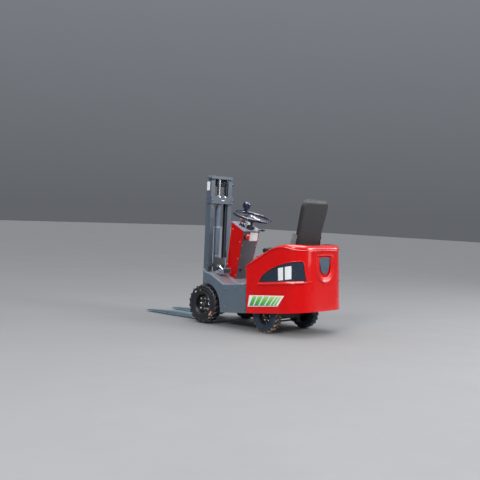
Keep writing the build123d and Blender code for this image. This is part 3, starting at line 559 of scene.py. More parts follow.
# ------------------------------------------------------------------ wheels
def tyre_batch(cx, cy, cz, side, half, R, rim, lugs, lug_h, seed):
    """Carcass with bead, sidewall rings and rounded shoulder, and cleats that run from the crown over the shoulder."""
    b = Batch()
    S = side
    Rc = R - lug_h
    prof = [(-half * 0.74, rim - 2), (-half * 0.84, rim + 3), (-half * 0.90, rim + 9), (-half * 0.955, rim + (Rc - rim) * 0.16),
            (-half * 0.985, rim + (Rc - rim) * 0.26), (-half * 1.0, rim + (Rc - rim) * 0.36), (-half * 1.0, rim + (Rc - rim) * 0.55), (-half * 0.985, rim + (Rc - rim) * 0.70),
            (-half * 0.95, rim + (Rc - rim) * 0.83), (-half * 0.86, Rc - 6), (-half * 0.72, Rc - 2), (-half * 0.40, Rc), (0, Rc + 0.5)]
    ridge = []
    for a, r in prof:
        ridge.append((a, r))
    # thin raised rings on the wall
    k = rim + (Rc - rim) * 0.20
    ridge = [p for p in ridge]
    full = ridge + [(-a, r) for a, r in reversed(ridge[:-1])]
    full = [(full[0][0] * 0.9, rim - 6)] + full + [(full[-1][0] * 0.9, rim - 6)]
    full.append(full[0])
    b.lathe([(a / 1000, r / 1000) for a, r in full], P(cx, cy, cz), (0, 1, 0), 120, 0)
    # the outer two rings take slot 5, which on the front tyres is a lighter rubber as a painted highlight
    for s in (-1, 1):
        for q, hh in ((0.13, 1.4), (0.27, 3.6), (0.62, 2.2)):
            r0 = rim + (Rc - rim) * q
            # place on the wall
            a0 = half * (0.905 + 0.1 * min(1, q / 0.36)) if q < 0.36 else half * (1.0 if q < 0.56 else 0.992)
            b.lathe([((s * (a0 - 2)) / 1000, (r0 - 2.4) / 1000), (s * (a0 + hh) / 1000, (r0 - 1.2) / 1000), (s * (a0 + hh) / 1000, (r0 + 1.2) / 1000),
                     (s * (a0 - 2) / 1000, (r0 + 2.4) / 1000), ((s * (a0 - 2)) / 1000, (r0 - 2.4) / 1000)], P(cx, cy, cz), (0, 1, 0), 120, 5 if q > 0.2 else 0)
    # cleats
    st = [(-0.10, R - 0.2, Rc - 3, 0.55, 0.0), (0.14, R, Rc - 3, 0.9, 0.1), (0.42, R, Rc - 3, 1.0, 0.32), (0.68, R - 1.0, Rc - 4, 1.08, 0.55), (0.86, R - 4.5, Rc - 8, 1.12, 0.75),
          (1.0, R - 13, Rc - 16, 1.12, 0.9), (1.045, R - 25, R - 27, 1.0, 1.0), (1.02, R - 36, R - 38, 0.8, 1.08)]
    step = 2 * math.pi / lugs
    wid = step * 0.25
    C = P(cx, cy, cz)
    for s in (-1, 1):
        for i in range(lugs):
            base = step * (i + (0.5 if s < 0 else 0.0))
            verts, faces = [], []
            for (a, rt, rb, w, sk) in st:
                for dw, r, da in ((-1.25, rb, 0.0), (-0.95, rt, 0.0), (0.95, rt, 0.0), (1.25, rb, 0.0)):
                    ang = base + sk * step * 0.62 + dw * wid * w * 0.5
                    aa = a * half * s
                    if rt - rb < 3:
                        aa = (a * half - (0.0 if r == rt else 4.0)) * s
                    verts.append(C + Vector((r / 1000 * math.cos(ang), aa / 1000, r / 1000 * math.sin(ang))))
            for q in range(len(st) - 1):
                for k in range(3):
                    v = q * 4 + k
                    faces.append((v, v + 1, v + 5, v + 4))
                faces.append((q * 4 + 3, q * 4, q * 4 + 4, q * 4 + 7))
            faces.append((0, 3, 2, 1))
            e = (len(st) - 1) * 4
            faces.append((e, e + 1, e + 2, e + 3))
            b.put(verts, faces, 1)
            if R < 170:
                first = len(b.m) - len(faces)
                for t in list(range(20, 28)) + [29]:
                    b.m[first + t] = 0
    return b


def rim_batch(cx, cy, cz, side, half, rim, spindle, bolts, holes):
    """Dished rim: rolled flange, drop centre, conical disc, hub, studs and cap; outboard along side."""
    b = Batch()
    C = P(cx, cy, cz)
    ax = Vector((0, side, 0))
    h = half
    prof = [(-h * 0.86, rim + 6), (-h * 0.90, rim + 4), (-h * 0.88, rim - 1), (-h * 0.72, rim - 4), (-h * 0.30, rim - 15), (h * 0.10, rim - 15), (h * 0.50, rim - 6),
            (h * 0.76, rim - 4), (h * 0.87, rim - 1), (h * 0.90, rim + 4), (h * 0.86, rim + 6.5), (h * 0.80, rim + 5)]
    back = [(h * 0.78, rim + 1), (h * 0.5, rim - 2.5), (h * 0.10, rim - 11.5), (-h * 0.30, rim - 11.5), (-h * 0.74, rim - 0.5), (-h * 0.82, rim + 4), (-h * 0.86, rim + 6)]
    b.lathe([(a / 1000, r / 1000) for a, r in prof + back], C, ax, 96, 0)
    # rolled edge ring on the outboard flange, in a lighter grey as a painted highlight
    b.lathe([(a / 1000, r / 1000) for a, r in [(h * 0.875, rim + 1.0), (h * 0.93, rim + 2.6), (h * 0.945, rim + 5.2), (h * 0.90, rim + 7.6), (h * 0.85, rim + 7.0), (h * 0.86, rim + 2), (h * 0.875, rim + 1.0)]], C, ax, 96, 1)
    d0 = h * 0.05
    hub = spindle + 12
    disc = [(d0 - 4, rim - 14), (d0, rim - 13), (d0 + 5, rim - 19), (d0 + 8, rim * 0.72), (d0 + 7, rim * 0.60), (d0 + 2, rim * 0.52), (d0 + 2, hub + 4),
            (d0 + 6, hub), (d0 + 16, hub - 3), (d0 + 17, spindle + 2), (d0 + 24, spindle - 3), (d0 + 26, spindle * 0.55), (d0 + 26, 0)]
    b.lathe([(a / 1000, r / 1000) for a, r in disc], C, ax, 96, 0)
    discb = [(d0 - 9, rim - 14), (d0 - 3, rim * 0.72), (d0 - 8, rim * 0.52), (d0 - 8, hub + 6), (-h * 0.6, hub + 4), (-h * 0.6, spindle + 0.6), (d0 - 12, spindle + 0.6)]
    b.lathe([(a / 1000, r / 1000) for a, r in discb], C, ax, 72, 0)
    b.lathe([((d0 + 24) / 1000, (spindle * 0.62) / 1000), ((d0 + 31) / 1000, (spindle * 0.58) / 1000), ((d0 + 34) / 1000, (spindle * 0.42) / 1000), ((d0 + 34.5) / 1000, 0)], C, ax, 32, 3)
    for (r, ang, size, at) in bolts:
        w = math.radians(ang)
        p = C + ax * (d0 + at) / 1000 + Vector((math.cos(w), 0, math.sin(w))) * r / 1000
        b.bolt(p, ax, size / 1000, size * 0.95 / 1000, 2, turn=w)
        b.lathe([(0, size * 0.45 / 1000), (size * 1.45 / 1000, size * 0.45 / 1000), (size * 1.55 / 1000, size * 0.36 / 1000), (size * 1.55 / 1000, 0)], p, ax, 12, 2)
    # the rims round the ventilation holes take slot 1, the lighter grey painted highlight
    for (r, ang, rr) in holes:
        w = math.radians(ang)
        p = C + ax * (d0 + 7.2) / 1000 + Vector((math.cos(w), 0, math.sin(w))) * r / 1000
        b.lathe([(0.0000, rr * 0.62 / 1000), (0.0016, rr * 0.66 / 1000), (0.0022, rr / 1000), (0.0002, rr * 1.08 / 1000), (-0.003, rr * 1.05 / 1000), (0.0000, rr * 0.62 / 1000)], p, ax, 20, 1)
    # valve
    w = math.radians(250)
    p = C + ax * (d0 + 2) / 1000 + Vector((math.cos(w), 0, math.sin(w))) * (rim - 22) / 1000
    q = p + ax * 0.020 + Vector((math.cos(w), 0, math.sin(w))) * 0.006
    b.tube([p, q], 0.004, 4, 10)
    b.tube([q, q + (q - p) * 0.25], 0.0045, 5, 10)
    return b


FRONT_BOLTS = [(54, a, 9.0, 3) for a in (0, 90, 180, 270)] + [(76, a, 9.0, 9) for a in (45, 135, 225, 315)]
REAR_BOLTS = [(42, a, 6.0, 3) for a in (18, 90, 162, 234, 306)]
WHEELS = [("front_left", 0, 340, 208, 52, 108, 30, 1), ("front_right", 0, -340, 208, 52, 108, 30, -1),
          ("rear_left", -845, 313, 161.5, 46, 76, 18, 1), ("rear_right", -845, -313, 161.5, 46, 76, 18, -1)]
for name, x, y, R, half, rimr, sp, s in WHEELS:
    front = name.startswith("front")
    tb = tyre_batch(x, y, R, s, half, R, rimr, 20 if front else 18, 9 if front else 8, 1)
    # small paint dots on the wall, as moulded-tyre colour marks
    if front:
        for ang, half_l, r0, key in ((216, 10.5, 152, 2), (50, 4.2, 158, 3), (77, 2.2, 150, 4), (217, 1.3, 176, 3), (232, 1.3, 177, 3)):
            line = []
            for k in range(9):
                w = math.radians(ang - half_l + 2 * half_l * k / 8)
                line.append((P(x, y + s * (half - (0.5 if r0 < 160 else 2.2)), R) + Vector((math.cos(w), 0, math.sin(w))) * r0 / 1000, Vector((0, s, 0))))
            tb.mark(line, 8.5 if half_l > 10 else 4.5, 2.6, key)
    # slot 5: lighter ring rubber as a painted highlight on the front tyres, blue-tinted rubber as a painted sky
    # reflection on the rear tyres
    tb.make(name + "_tyre_detail", ["tyre" if front else "tyre_rear_sky_tint", "lug_dusty" if name == "rear_left" else "lug", "orange_mark", "white", "yellow", "tyre_ring_highlight" if front else "tyre_rear_sky_tint"], name + "_wheel",
            auto=40, replaces=[name + "_tyre"], slot="tyre")
    holes = [] if front else [(58, a, 7.5) for a in (54, 126, 198, 270, 342)]
    rb = rim_batch(x, y, R, s, half, rimr, sp, FRONT_BOLTS if front else REAR_BOLTS, holes)
    rb.make(name + "_rim_detail", ["rim", "rim_edge_highlight", "zinc", "brass", "rubber", "zinc"], name + "_wheel", auto=32, replaces=[name + "_rim"], slot="rim_black")

# ------------------------------------------------------------------ rear body trims
TAPER = math.tan(math.radians(3.6))


def skin_at(kind, v, z, off=0.0, s=1):
    """Point and outward normal on the leaning sides, round corners and tail of the body."""
    d = (z - 256.0) * TAPER
    if kind == "side":
        return P(v, s * (426 - d + off), z), Vector((0, s, TAPER)).normalized()
    if kind == "corner":
        w, r = math.radians(v), 260 - d + off
        return P(-1076 - r * math.sin(w), s * (166 + r * math.cos(w)), z), Vector((-math.sin(w), s * math.cos(w), TAPER)).normalized()
    return P(-1336 + d - off, v, z), Vector((-1, 0, TAPER)).normalized()


def skin_x(x, z, off=0.0, s=1):
    if x >= -1076:
        return skin_at("side", x, z, off, s)
    r = 260 - (z - 256.0) * TAPER + off
    return skin_at("corner", math.degrees(math.asin(min(1.0, (-1076 - x) / r))), z, off, s)


def arc_points(p, t, q, n=14):
    p, t, q = Vector(p), Vector(t).normalized(), Vector(q)
    side = Vector((-t.y, t.x))
    c = q - p
    R = c.length_squared / (2 * side.dot(c))
    cen = p + side * R
    a0 = math.atan2((p - cen).y, (p - cen).x)
    a1 = math.atan2((q - cen).y, (q - cen).x)
    d = (a1 - a0) % (2 * math.pi) if R > 0 else -((a0 - a1) % (2 * math.pi))
    pts = [tuple(cen + abs(R) * Vector((math.cos(a0 + d * i / n), math.sin(a0 + d * i / n)))) for i in range(1, n + 1)]
    return pts, Vector((t.x * math.cos(d) - t.y * math.sin(d), t.x * math.sin(d) + t.y * math.cos(d)))


BAND = [(-596.0, 590.0)]
tan_ = Vector((47.0, 416.0))
for e_ in ((-645.0, 682.0), (-868.0, 817.0), (-1156.0, 872.0), (-1352.0, 868.0)):
    pts_, tan_ = arc_points(BAND[-1], tan_, e_)
    BAND += pts_


def band_z(x):
    for (x0, z0), (x1, z1) in zip(BAND, BAND[1:]):
        if x1 <= x <= x0:
            return z0 + (z1 - z0) * (x - x0) / (x1 - x0)
    return BAND[-1][1]


def bead(self, line, h, depth, mi=0, n=8, sink=2.0, taper=0):
    """Half-round strip along (point, normal) pairs; h is half its height, all in millimetres."""
    m = len(line)
    verts, faces = [], []
    for i in range(m):
        t = (line[min(i + 1, m - 1)][0] - line[max(i - 1, 0)][0]).normalized()
        nn = line[i][1]
        b = nn.cross(t).normalized()
        e = 1.0
        if taper:
            e = min(1.0, (min(i, m - 1 - i) + 0.3) / taper) ** 0.5
        for k in range(n + 1):
            w = math.pi * k / n - math.pi / 2
            verts.append(line[i][0] + b * (h * e * math.sin(w) / 1000) + nn * (depth * e * math.cos(w) / 1000))
        verts.append(line[i][0] + b * (h * e / 1000) - nn * sink / 1000)
        verts.append(line[i][0] - b * (h * e / 1000) - nn * sink / 1000)
    row = n + 3
    for i in range(m - 1):
        for k in range(row):
            k2 = (k + 1) % row
            faces.append((i * row + k, i * row + k2, (i + 1) * row + k2, (i + 1) * row + k))
    faces.append(tuple(range(row - 1, -1, -1)))
    faces.append(tuple((m - 1) * row + k for k in range(row)))
    self.put(verts, faces, mi)


def ridge(self, line, prof, mi=0, taper=0, up=None):
    """Strip along (point, normal) pairs whose cross-section is prof, a closed list of (up, out) millimetres."""
    m, k = len(line), len(prof)
    verts, faces = [], []
    for i in range(m):
        t = (line[min(i + 1, m - 1)][0] - line[max(i - 1, 0)][0]).normalized()
        nn = line[i][1]
        b = nn.cross(t).normalized()
        if up is None and b.z < 0:
            b = -b
        e = 1.0
        if taper:
            e = min(1.0, (min(i, m - 1 - i) + 0.25) / taper) ** 0.5
        for u, v in prof:
            verts.append(line[i][0] + b * (u * e / 1000) + nn * (v * (e if v > 0 else 1.0) / 1000))
    for i in range(m - 1):
        for j in range(k):
            j2 = (j + 1) % k
            faces.append((i * k + j, i * k + j2, (i + 1) * k + j2, (i + 1) * k + j))
    faces.append(tuple(range(k - 1, -1, -1)))
    faces.append(tuple((m - 1) * k + j for j in range(k)))
    self.put(verts, faces, mi)


def skin_plate(self, corners, off, thick, s, mi=0, nu=14, nv=4):
    """Thin plate on the skin between four (x, z) corners: front low, front high, rear high, rear low."""
    a, b, c, d = corners
    verts, faces = [], []
    for o in (off - 0.5, off + thick):
        for i in range(nu + 1):
            u = i / nu
            for j in range(nv + 1):
                v = j / nv
                x = (a[0] * (1 - u) + d[0] * u) * (1 - v) + (b[0] * (1 - u) + c[0] * u) * v
                z = (a[1] * (1 - u) + d[1] * u) * (1 - v) + (b[1] * (1 - u) + c[1] * u) * v
                verts.append(skin_x(x, z, o, s)[0])
    w, half = nv + 1, (nu + 1) * (nv + 1)
    for i in range(nu):
        for j in range(nv):
            q = (i * w + j, (i + 1) * w + j, (i + 1) * w + j + 1, i * w + j + 1)
            faces.append(q)
            faces.append(tuple(half + k for k in reversed(q)))
    ring = [i * w for i in range(nu + 1)] + [nu * w + j for j in range(1, nv + 1)] + [i * w + nv for i in range(nu - 1, -1, -1)] + [j for j in range(nv - 1, 0, -1)]
    for p, q in zip(ring, ring[1:] + ring[:1]):
        faces.append((q, p, p + half, q + half))
    self.put(verts, faces, mi)


Batch.bead = bead
Batch.ridge = ridge
Batch.skin_plate = skin_plate

trim = Batch()
loop = []
for k in range(46):
    x = -598 - (1076 - 598) * k / 45.0
    loop.append(("side", x, 1))
for k in range(1, 25):
    loop.append(("corner", 90.0 * k / 24, 1))
for k in range(1, 9):
    loop.append(("rear", 166 - 332 * k / 9.0, 1))
loop += [("corner", 90.0 * k / 24, -1) for k in range(24, -1, -1)]
loop += [("side", -1076 + (1076 - 598) * k / 45.0, -1) for k in range(1, 46)]


def band_line(dz, off):
    out = []
    for kind, v, s in loop:
        z = 850.0
        for _ in range(3):
            x = (skin_at(kind, v, z, off, s)[0].x * 1000) - SX
            z = band_z(x)
        out.append(skin_at(kind, v, z + dz, off, s))
    return out


trim.ridge(band_line(-2.0, 3.0), [(9, -3), (7.5, 0.2), (3, 3.8), (-1.5, 7.2), (-4, 7.0), (-6, 4.0), (-6.5, -3)], 0, taper=2)
for s in (1, -1):
    led = []
    for k in range(60):
        x = -772 - ((1296 if s > 0 else 1262) - 772) * k / 59.0
        led.append(skin_x(x, 494 + (-778 - x) * 0.103, 0.5, s))
    trim.ridge(led, [(18, -2), (16, 0.8), (8, 8.0), (0, 15.0), (-4, 16.6), (-8, 15.2), (-11, 11), (-13.5, 4), (-14.5, -2)], 0, taper=3)
    cr = [skin_x(-640 - 500 * k / 40.0, 397 + (-3 + 500 * k / 40.0) * 0.103, 0.0, s) for k in range(41)]
    trim.bead(cr, 3.4, 1.8, 0, n=6, taper=3)
    ring = [(-793, 505), (-811, 558), (-836, 590), (-898, 640), (-1006, 694), (-1090, 722), (-1163, 741), (-1228, 751), (-1262, 753), (-1276, 660), (-1293, 548)]
    path = []
    for p, q in zip(ring, ring[1:]):
        for k in range(5):
            path.append((p[0] + (q[0] - p[0]) * k / 5.0, p[1] + (q[1] - p[1]) * k / 5.0))
    path.append(ring[-1])
    for _ in range(2):
        path = [path[0]] + [tuple((Vector(path[i - 1]) + 2 * Vector(path[i]) + Vector(path[i + 1])) / 4) for i in range(1, len(path) - 1)] + [path[-1]]
    trim.bead([skin_x(x + (-1 if x < -900 else 1), z + 1.5, -0.4, s) for x, z in path], 4.4, 2.6, 0, n=8)
u_line = [skin_at("rear", 143.0, 800 - 121 * k / 8.0, 0.0) for k in range(9)]
u_line += [skin_at("rear", 143 * math.cos(math.pi * k / 28), 679 - 143 * math.sin(math.pi * k / 28), 0.0) for k in range(1, 28)]
u_line += [skin_at("rear", -143.0, 679 + 121 * k / 8.0, 0.0) for k in range(9)]
N_LIP = len(u_line)
lip_v, lip_f = [], []
lip_prof = [(92, -1.5), (94, 0.2), (104, 1.6), (116, 5.0), (128, 9.4), (136, 12.0), (141, 12.8), (146, 11.4), (150, 8.0), (153, 3.4), (154, -1.5)]
for i in range(41):
    k = i / 40.0
    if k < 0.2:
        cy, cz, dy, dz, hh = 0.0, 800 - 121 * k / 0.2, 1.0, 0.0, 0.16 + 0.42 * (k / 0.2)
    elif k > 0.8:
        cy, cz, dy, dz, hh = 0.0, 679 + 121 * (k - 0.8) / 0.2, -1.0, 0.0, 0.58 - 0.42 * ((k - 0.8) / 0.2)
    else:
        w_ = math.pi * (k - 0.2) / 0.6
        cy, cz, dy, dz = 0.0, 679.0, math.cos(w_), -math.sin(w_)
        hh = 0.58 + 0.42 * max(0.0, math.sin(w_)) ** 0.7
    for r_, h_ in lip_prof:
        pt, nn = skin_at("rear", cy + dy * r_ * 0.99, cz + dz * r_ * 0.99, 0.0)
        lip_v.append(pt + nn * ((h_ * hh if h_ > 0 else h_) / 1000))
kk = len(lip_prof)
for i in range(40):
    for j in range(kk):
        j2 = (j + 1) % kk
        lip_f.append((i * kk + j, i * kk + j2, (i + 1) * kk + j2, (i + 1) * kk + j))
lip_f.append(tuple(range(kk - 1, -1, -1)))
lip_f.append(tuple(40 * kk + j for j in range(kk)))
trim.put(lip_v, lip_f, 0)
trim.bead([skin_at("rear", 146 - 292 * k / 12.0, 812.0, 0.0) for k in range(13)], 5.0, 3.6, 0, n=8, taper=1.5)
trim.make("body_trim", ["body_red", "groove"], "chassis", auto=50, slot="body_red")

signs = Batch()
for s in (1, -1):
    A_, B_, C_, D_ = (-676.0, 256.0), (-686.0, 371.0), (-1130.0, 409.0), (-1062.0, 298.0)
    signs.skin_plate((A_, B_, C_, D_), 0.3, 0.5, s, 0, nu=20)

    def at(u, v):
        lo = (A_[0] + (D_[0] - A_[0]) * u, A_[1] + (D_[1] - A_[1]) * u)
        hi = (B_[0] + (C_[0] - B_[0]) * u, B_[1] + (C_[1] - B_[1]) * u)
        return (lo[0] + (hi[0] - lo[0]) * v, lo[1] + (hi[1] - lo[1]) * v)

    for u0, u1, sk in ((0.05, 0.17, 0.06), (0.21, 0.35, 0.06), (0.39, 0.54, 0.06), (0.58, 0.71, 0.06), (0.75, 0.83, 0.05), (0.87, 0.92, 0.03)):
        signs.skin_plate((at(u0, 0.08), at(u0 + sk, 0.92), at(u1 + sk, 0.92), at(u1, 0.08)), 0.9, 0.3, s, 1, nu=6)
    signs.skin_plate((at(0.03, 0.06), at(0.03, 0.10), at(0.97, 0.10), at(0.97, 0.06)), 0.9, 0.25, s, 2, nu=14, nv=1)
    # blank slanted two-bar plate on the inset
    a2, b2, c2, d2 = (-1038.0, 549.0), (-1021.0, 671.0), (-1170.0, 704.0), (-1181.0, 576.0)

    def at2(u, v):
        lo = (a2[0] + (d2[0] - a2[0]) * u, a2[1] + (d2[1] - a2[1]) * u)
        hi = (b2[0] + (c2[0] - b2[0]) * u, b2[1] + (c2[1] - b2[1]) * u)
        return (lo[0] + (hi[0] - lo[0]) * v, lo[1] + (hi[1] - lo[1]) * v)

    for u0, u1 in ((0.0, 0.42), (0.56, 1.0)):
        signs.skin_plate((at2(u0, 0), at2(u0, 1), at2(u1, 1), at2(u1, 0)), -5.7, 0.6, s, 0, nu=8)
signs.make("body_blank_signs", ["white", "green", "cylinder"], "chassis", auto=50)


# ------------------------------------------------------------------ soft seat
def soft(name, verts, faces, mat, body, voxel, cap, hold, groove, node, slot, rounds=10):
    ob = add(name, verts, faces, mat, body, smooth=False, replaces=[node], slot=slot)
    md = ob.modifiers.new("remesh", "REMESH")
    md.mode = "VOXEL"
    md.voxel_size = voxel
    apply_modifiers(ob)
    md = ob.modifiers.new("smooth", "SMOOTH")
    md.factor = 0.5
    md.iterations = rounds
    apply_modifiers(ob)
    rest = [v.co.copy() for v in ob.data.vertices]
    vg = ob.vertex_groups.new(name="hold")
    for v in ob.data.vertices:
        w = hold(v.co)
        if w > 0:
            vg.add([v.index], w, "REPLACE")
    c = ob.modifiers.new("cloth", "CLOTH")
    st = c.settings
    st.quality = 4
    st.use_pressure = True
    st.uniform_pressure_force = 4
    st.effector_weights.gravity = 0
    st.vertex_group_mass = "hold"
    c.point_cache.frame_start = 1
    c.point_cache.frame_end = 20
    for fr in range(1, 21):
        scene.frame_set(fr)
    dg = bpy.context.evaluated_depsgraph_get()
    ev = ob.evaluated_get(dg)
    me = ev.to_mesh()
    co = [v.co.copy() for v in me.vertices]
    ev.to_mesh_clear()
    ob.modifiers.remove(c)
    scene.frame_set(1)
    for i, v in enumerate(ob.data.vertices):
        d = co[i] - rest[i]
        if d.length > cap:
            d *= cap / d.length
        v.co = rest[i] + d
    ob.vertex_groups.clear()
    for v in ob.data.vertices:
        v.co = v.co + groove(v.co)
    md = ob.modifiers.new("sub", "SUBSURF")
    md.levels = 1
    md.render_levels = 1
    apply_modifiers(ob)
    return ob


def extrude_xz(profile, y0, y1):
    k = len(profile)
    verts = [P(x, y, z) for y in (y0, y1) for x, z in profile]
    faces = [tuple(range(k)), tuple(range(2 * k - 1, k - 1, -1))] + [(i, (i + 1) % k, k + (i + 1) % k, k + i) for i in range(k)]
    return verts, faces


def dip(d, w):
    return math.exp(-(d / w) ** 2)


cv, cf = extrude_xz([(-640, 798), (-634, 818), (-650, 840), (-700, 845), (-1008, 832), (-1020, 800), (-1008, 792), (-680, 792)], -198, 198)


def cushion_groove(co):
    x, y, z = co.x * 1000 - SX, co.y * 1000, co.z * 1000
    if z < 822:
        return Vector((0, 0, 0))
    g = 0.0
    if -960 < x < -690:
        g = max(g, dip(abs(y) - 128, 6))
    if abs(y) < 128:
        g = max(g, dip(x + 960, 6), dip(x + 690, 6))
        for xx in (-757, -824, -891):
            g = max(g, 0.7 * dip(x - xx, 6))
    rise = 5.0 * min(1.0, max(0.0, (abs(y) - 128) / 30.0)) if abs(y) > 128 else 0.0
    return Vector((0, 0, (rise - 6.0 * g) / 1000))


soft("seat_cushion_soft", cv, cf, "vinyl", "seat_hood", 0.006, 0.008, lambda c: 1.0 if c.z < 0.797 else 0.0, cushion_groove, "seat_cushion", "seat_vinyl")

# back: frame along its rear face, s up it, n out of it to the rear
B_O, B_U, B_N = P(-1074, 0, 856), Vector((-0.2592, 0, 0.9659)), Vector((-0.9659, 0, -0.2592))
BACK_TOP = 508.0


def back_half(s):
    """Half width of the back at a height along it."""
    if s < 26:
        return 184 + 20 * math.sin(max(0.0, s) / 26 * math.pi / 2)
    if s < 420:
        return 204 + 15 * max(0.0, s - 190) / 230.0
    k = (s - 420) / (BACK_TOP - 420)
    return 135 + 84 * math.sqrt(max(0.0, 1 - k ** 2.3))


def back_at(y, s, n):
    return B_O + Vector((0, y / 1000, 0)) + B_U * s / 1000 + B_N * (n - 24.0 * max(0.0, s / BACK_TOP) ** 1.2) / 1000


def back_solid(outer, inner, ns=44, ny=30, grow=0.0):
    verts, faces = [], []
    S = [BACK_TOP * (1 - math.cos(math.pi * i / ns)) / 2 for i in range(ns + 1)]
    T = [math.sin(math.pi / 2 * (2 * j / ny - 1)) for j in range(ny + 1)]
    for f in (outer, inner):
        for s in S:
            for t in T:
                y = (back_half(s) + grow) * t
                verts.append(back_at(y, s, f(y, s)))
    w, half = ny + 1, (ns + 1) * (ny + 1)
    for i in range(ns):
        for j in range(ny):
            q = (i * w + j, i * w + j + 1, (i + 1) * w + j + 1, (i + 1) * w + j)
            faces.append(q)
            faces.append(tuple(half + k for k in reversed(q)))
    ring = [j for j in range(w)] + [i * w + ny for i in range(1, ns + 1)] + [ns * w + j for j in range(ny - 1, -1, -1)] + [i * w for i in range(ns - 1, 0, -1)]
    for p, q in zip(ring, ring[1:] + ring[:1]):
        faces.append((q, p, p + half, q + half))
    return verts, faces


def edge_gap(y, s):
    return min(back_half(s) - abs(y), s, (BACK_TOP - s) * 1.1)


def shell_out(y, s):
    e = edge_gap(y, s)
    k = min(1.0, max(0.0, e) / 36.0)
    return 1.0 - 19.0 * (1 - k) ** 1.5 - (1.2 if 36 < e < 42 else 0.0)


sv, sf = back_solid(shell_out, lambda y, s: -27.0)
shell_ob = add("seat_back_hard_shell", sv, sf, "seat_shell", "seat_hood", auto=50, replaces=["seat_backrest"], slot="seat_vinyl")


def pad_front(y, s):
    e = edge_gap(y, s)
    return -50.0 + 14.0 * (1 - min(1.0, max(0.0, e) / 26.0)) ** 2


pv, pf = back_solid(lambda y, s: -28.0, pad_front, grow=-7.0)


def pad_groove(co):
    r = co - B_O
    s, y, n = r.dot(B_U) * 1000, co.y * 1000, r.dot(B_N) * 1000
    n += 24.0 * max(0.0, s / BACK_TOP) ** 1.2
    if n > -40:
        return Vector((0, 0, 0))
    g = 0.0
    if 60 < s < 440:
        g = dip(abs(y) - 128, 6)
    if abs(y) < 128:
        g = max(g, dip(s - 440, 6), dip(s - 60, 6))
        for q in (136, 212, 288, 364):
            g = max(g, 0.7 * dip(s - q, 6))
    return B_N * (5.5 * g / 1000)


soft("seat_back_pad", pv, pf, "vinyl", "seat_hood", 0.006, 0.007, lambda c: 1.0 if (c - B_O).dot(B_N) + 0.024 * max(0.0, (c - B_O).dot(B_U) * 1000 / BACK_TOP) ** 1.2 > -0.033 else 0.0, pad_groove, "seat_backrest", "seat_vinyl")

seat = Batch()
edge = []
for i in range(61):
    s = BACK_TOP * (1 - math.cos(math.pi * i / 60)) / 2
    edge.append((back_half(s) - 2.0, s))
ring3 = [back_at(y, s, -27.5) for y, s in edge] + [back_at(-y, s, -27.5) for y, s in reversed(edge)]
seat.tube(ring3, 0.0042, 0, 10, closed=True)
cush = round_poly([(-640, -203), (-640, 203), (-1022, 203), (-1022, -203)], 34, 8)
seat.tube([P(x, y, 834 if x > -1000 else 828) for x, y in cush], 0.0038, 0, 10, closed=True)
for s in (1, -1):
    for (x, z) in ((-1048, 800), (-1052, 872), (-1046, 980)):
        seat.bolt(P(x, s * 212, z), (0, s, 0), 0.0075, 0.006, 1)
    for (x, y) in ((-1020, 120), (-740, 120), (-1020, -120), (-740, -120)):
        seat.bolt(P(x, y, 760), (0, 0, 1), 0.008, 0.007, 1)
    seat.tube([P(-690, s * 152, 776), P(-652, s * 152, 778), P(-640, s * 152, 782)], 0.005, 1, 10)
seat.make("seat_trim", ["piping", "zinc"], "seat_hood", auto=40)

# ------------------------------------------------------------------ console
KO, KD, KN = P(-209, 0, 474), Vector((-0.1965, 0, 0.9805)), Vector((-0.9805, 0, -0.1965))
KX = Vector((0, -1, 0))


def knee(y, s, out=0.0):
    return KO + Vector((0, y / 1000, 0)) + KD * s / 1000 + KN * out / 1000


con = Batch()
con.prism([(v[0] / 1000, v[1] / 1000) for v in round_poly([(-18, 430), (118, 430), (118, 530), (-18, 530)], 6)], 0.0014, KO, KX, KD, 1, lift=0.0002)
con.prism([(v[0] / 1000, v[1] / 1000) for v in round_poly([(-14, 434), (114, 434), (114, 526), (-14, 526)], 5)], 0.0012, KO, KX, KD, 0, lift=0.0012)
for y, s in ((8, 439), (-108, 439), (8, 521), (-108, 521)):
    con.lathe([(0.0, 0), (0.0, 0.003), (0.003, 0.0028), (0.0038, 0.0014), (0.0038, 0)], knee(y, s, 2.0), KN, 12, 3)
# stop button: collar, mushroom head
c_ = knee(70, 483)
con.lathe([(0.0, 0.0), (0.0, 0.033), (0.004, 0.033), (0.0055, 0.031), (0.006, 0.020), (0.006, 0)], c_, KN, 40, 4)
con.lathe([(0.004, 0.0), (0.004, 0.015), (0.011, 0.015), (0.012, 0.026), (0.015, 0.0295), (0.021, 0.0300), (0.028, 0.0275), (0.033, 0.021), (0.036, 0.011), (0.0368, 0)], c_, KN, 48, 2)
# socket
c_ = knee(62, 112)
con.lathe([(0.0, 0.0), (0.0, 0.019), (0.004, 0.019), (0.006, 0.017), (0.006, 0.011), (0.002, 0.0105), (0.002, 0)], c_, KN, 32, 5)
for y, s in ((62 + 14, 112 + 14), (62 - 14, 112 - 14)):
    con.lathe([(0.0, 0), (0.0, 0.0025), (0.0072, 0.0022), (0.0072, 0)], knee(y, s), KN, 10, 3)
for k in range(5):
    for s in (1, -1):
        y = s * (100 + 0.6 * k * 5)
        con.lathe([(0.0, 0), (0.0, 0.0042), (0.0016, 0.004), (0.003, 0.0022), (0.003, 0)], knee(s * (96 + 4.0 * k), 30 + k * 118), KN, 12, 3)
for s in (1, -1):
    nn = Vector((0.0153, 0.9992 * s, -0.0372))
    for x, y, z in ((-266.3, 126.3, 888.9), (-238.9, 119.1, 706.8), (-209.8, 112.0, 526.3), (-160, 129.0, 1020), (-85, 112.6, 640)):
        con.lathe([(-0.0005, 0), (-0.0005, 0.0058), (0.0016, 0.0056), (0.0034, 0.0036), (0.0038, 0)], P(x, s * y, z) + nn * 0.0003, nn, 16, 3)
DA, DN = Vector((-0.8887, 0, -0.4586)), Vector((-0.4586, 0, 0.8887))


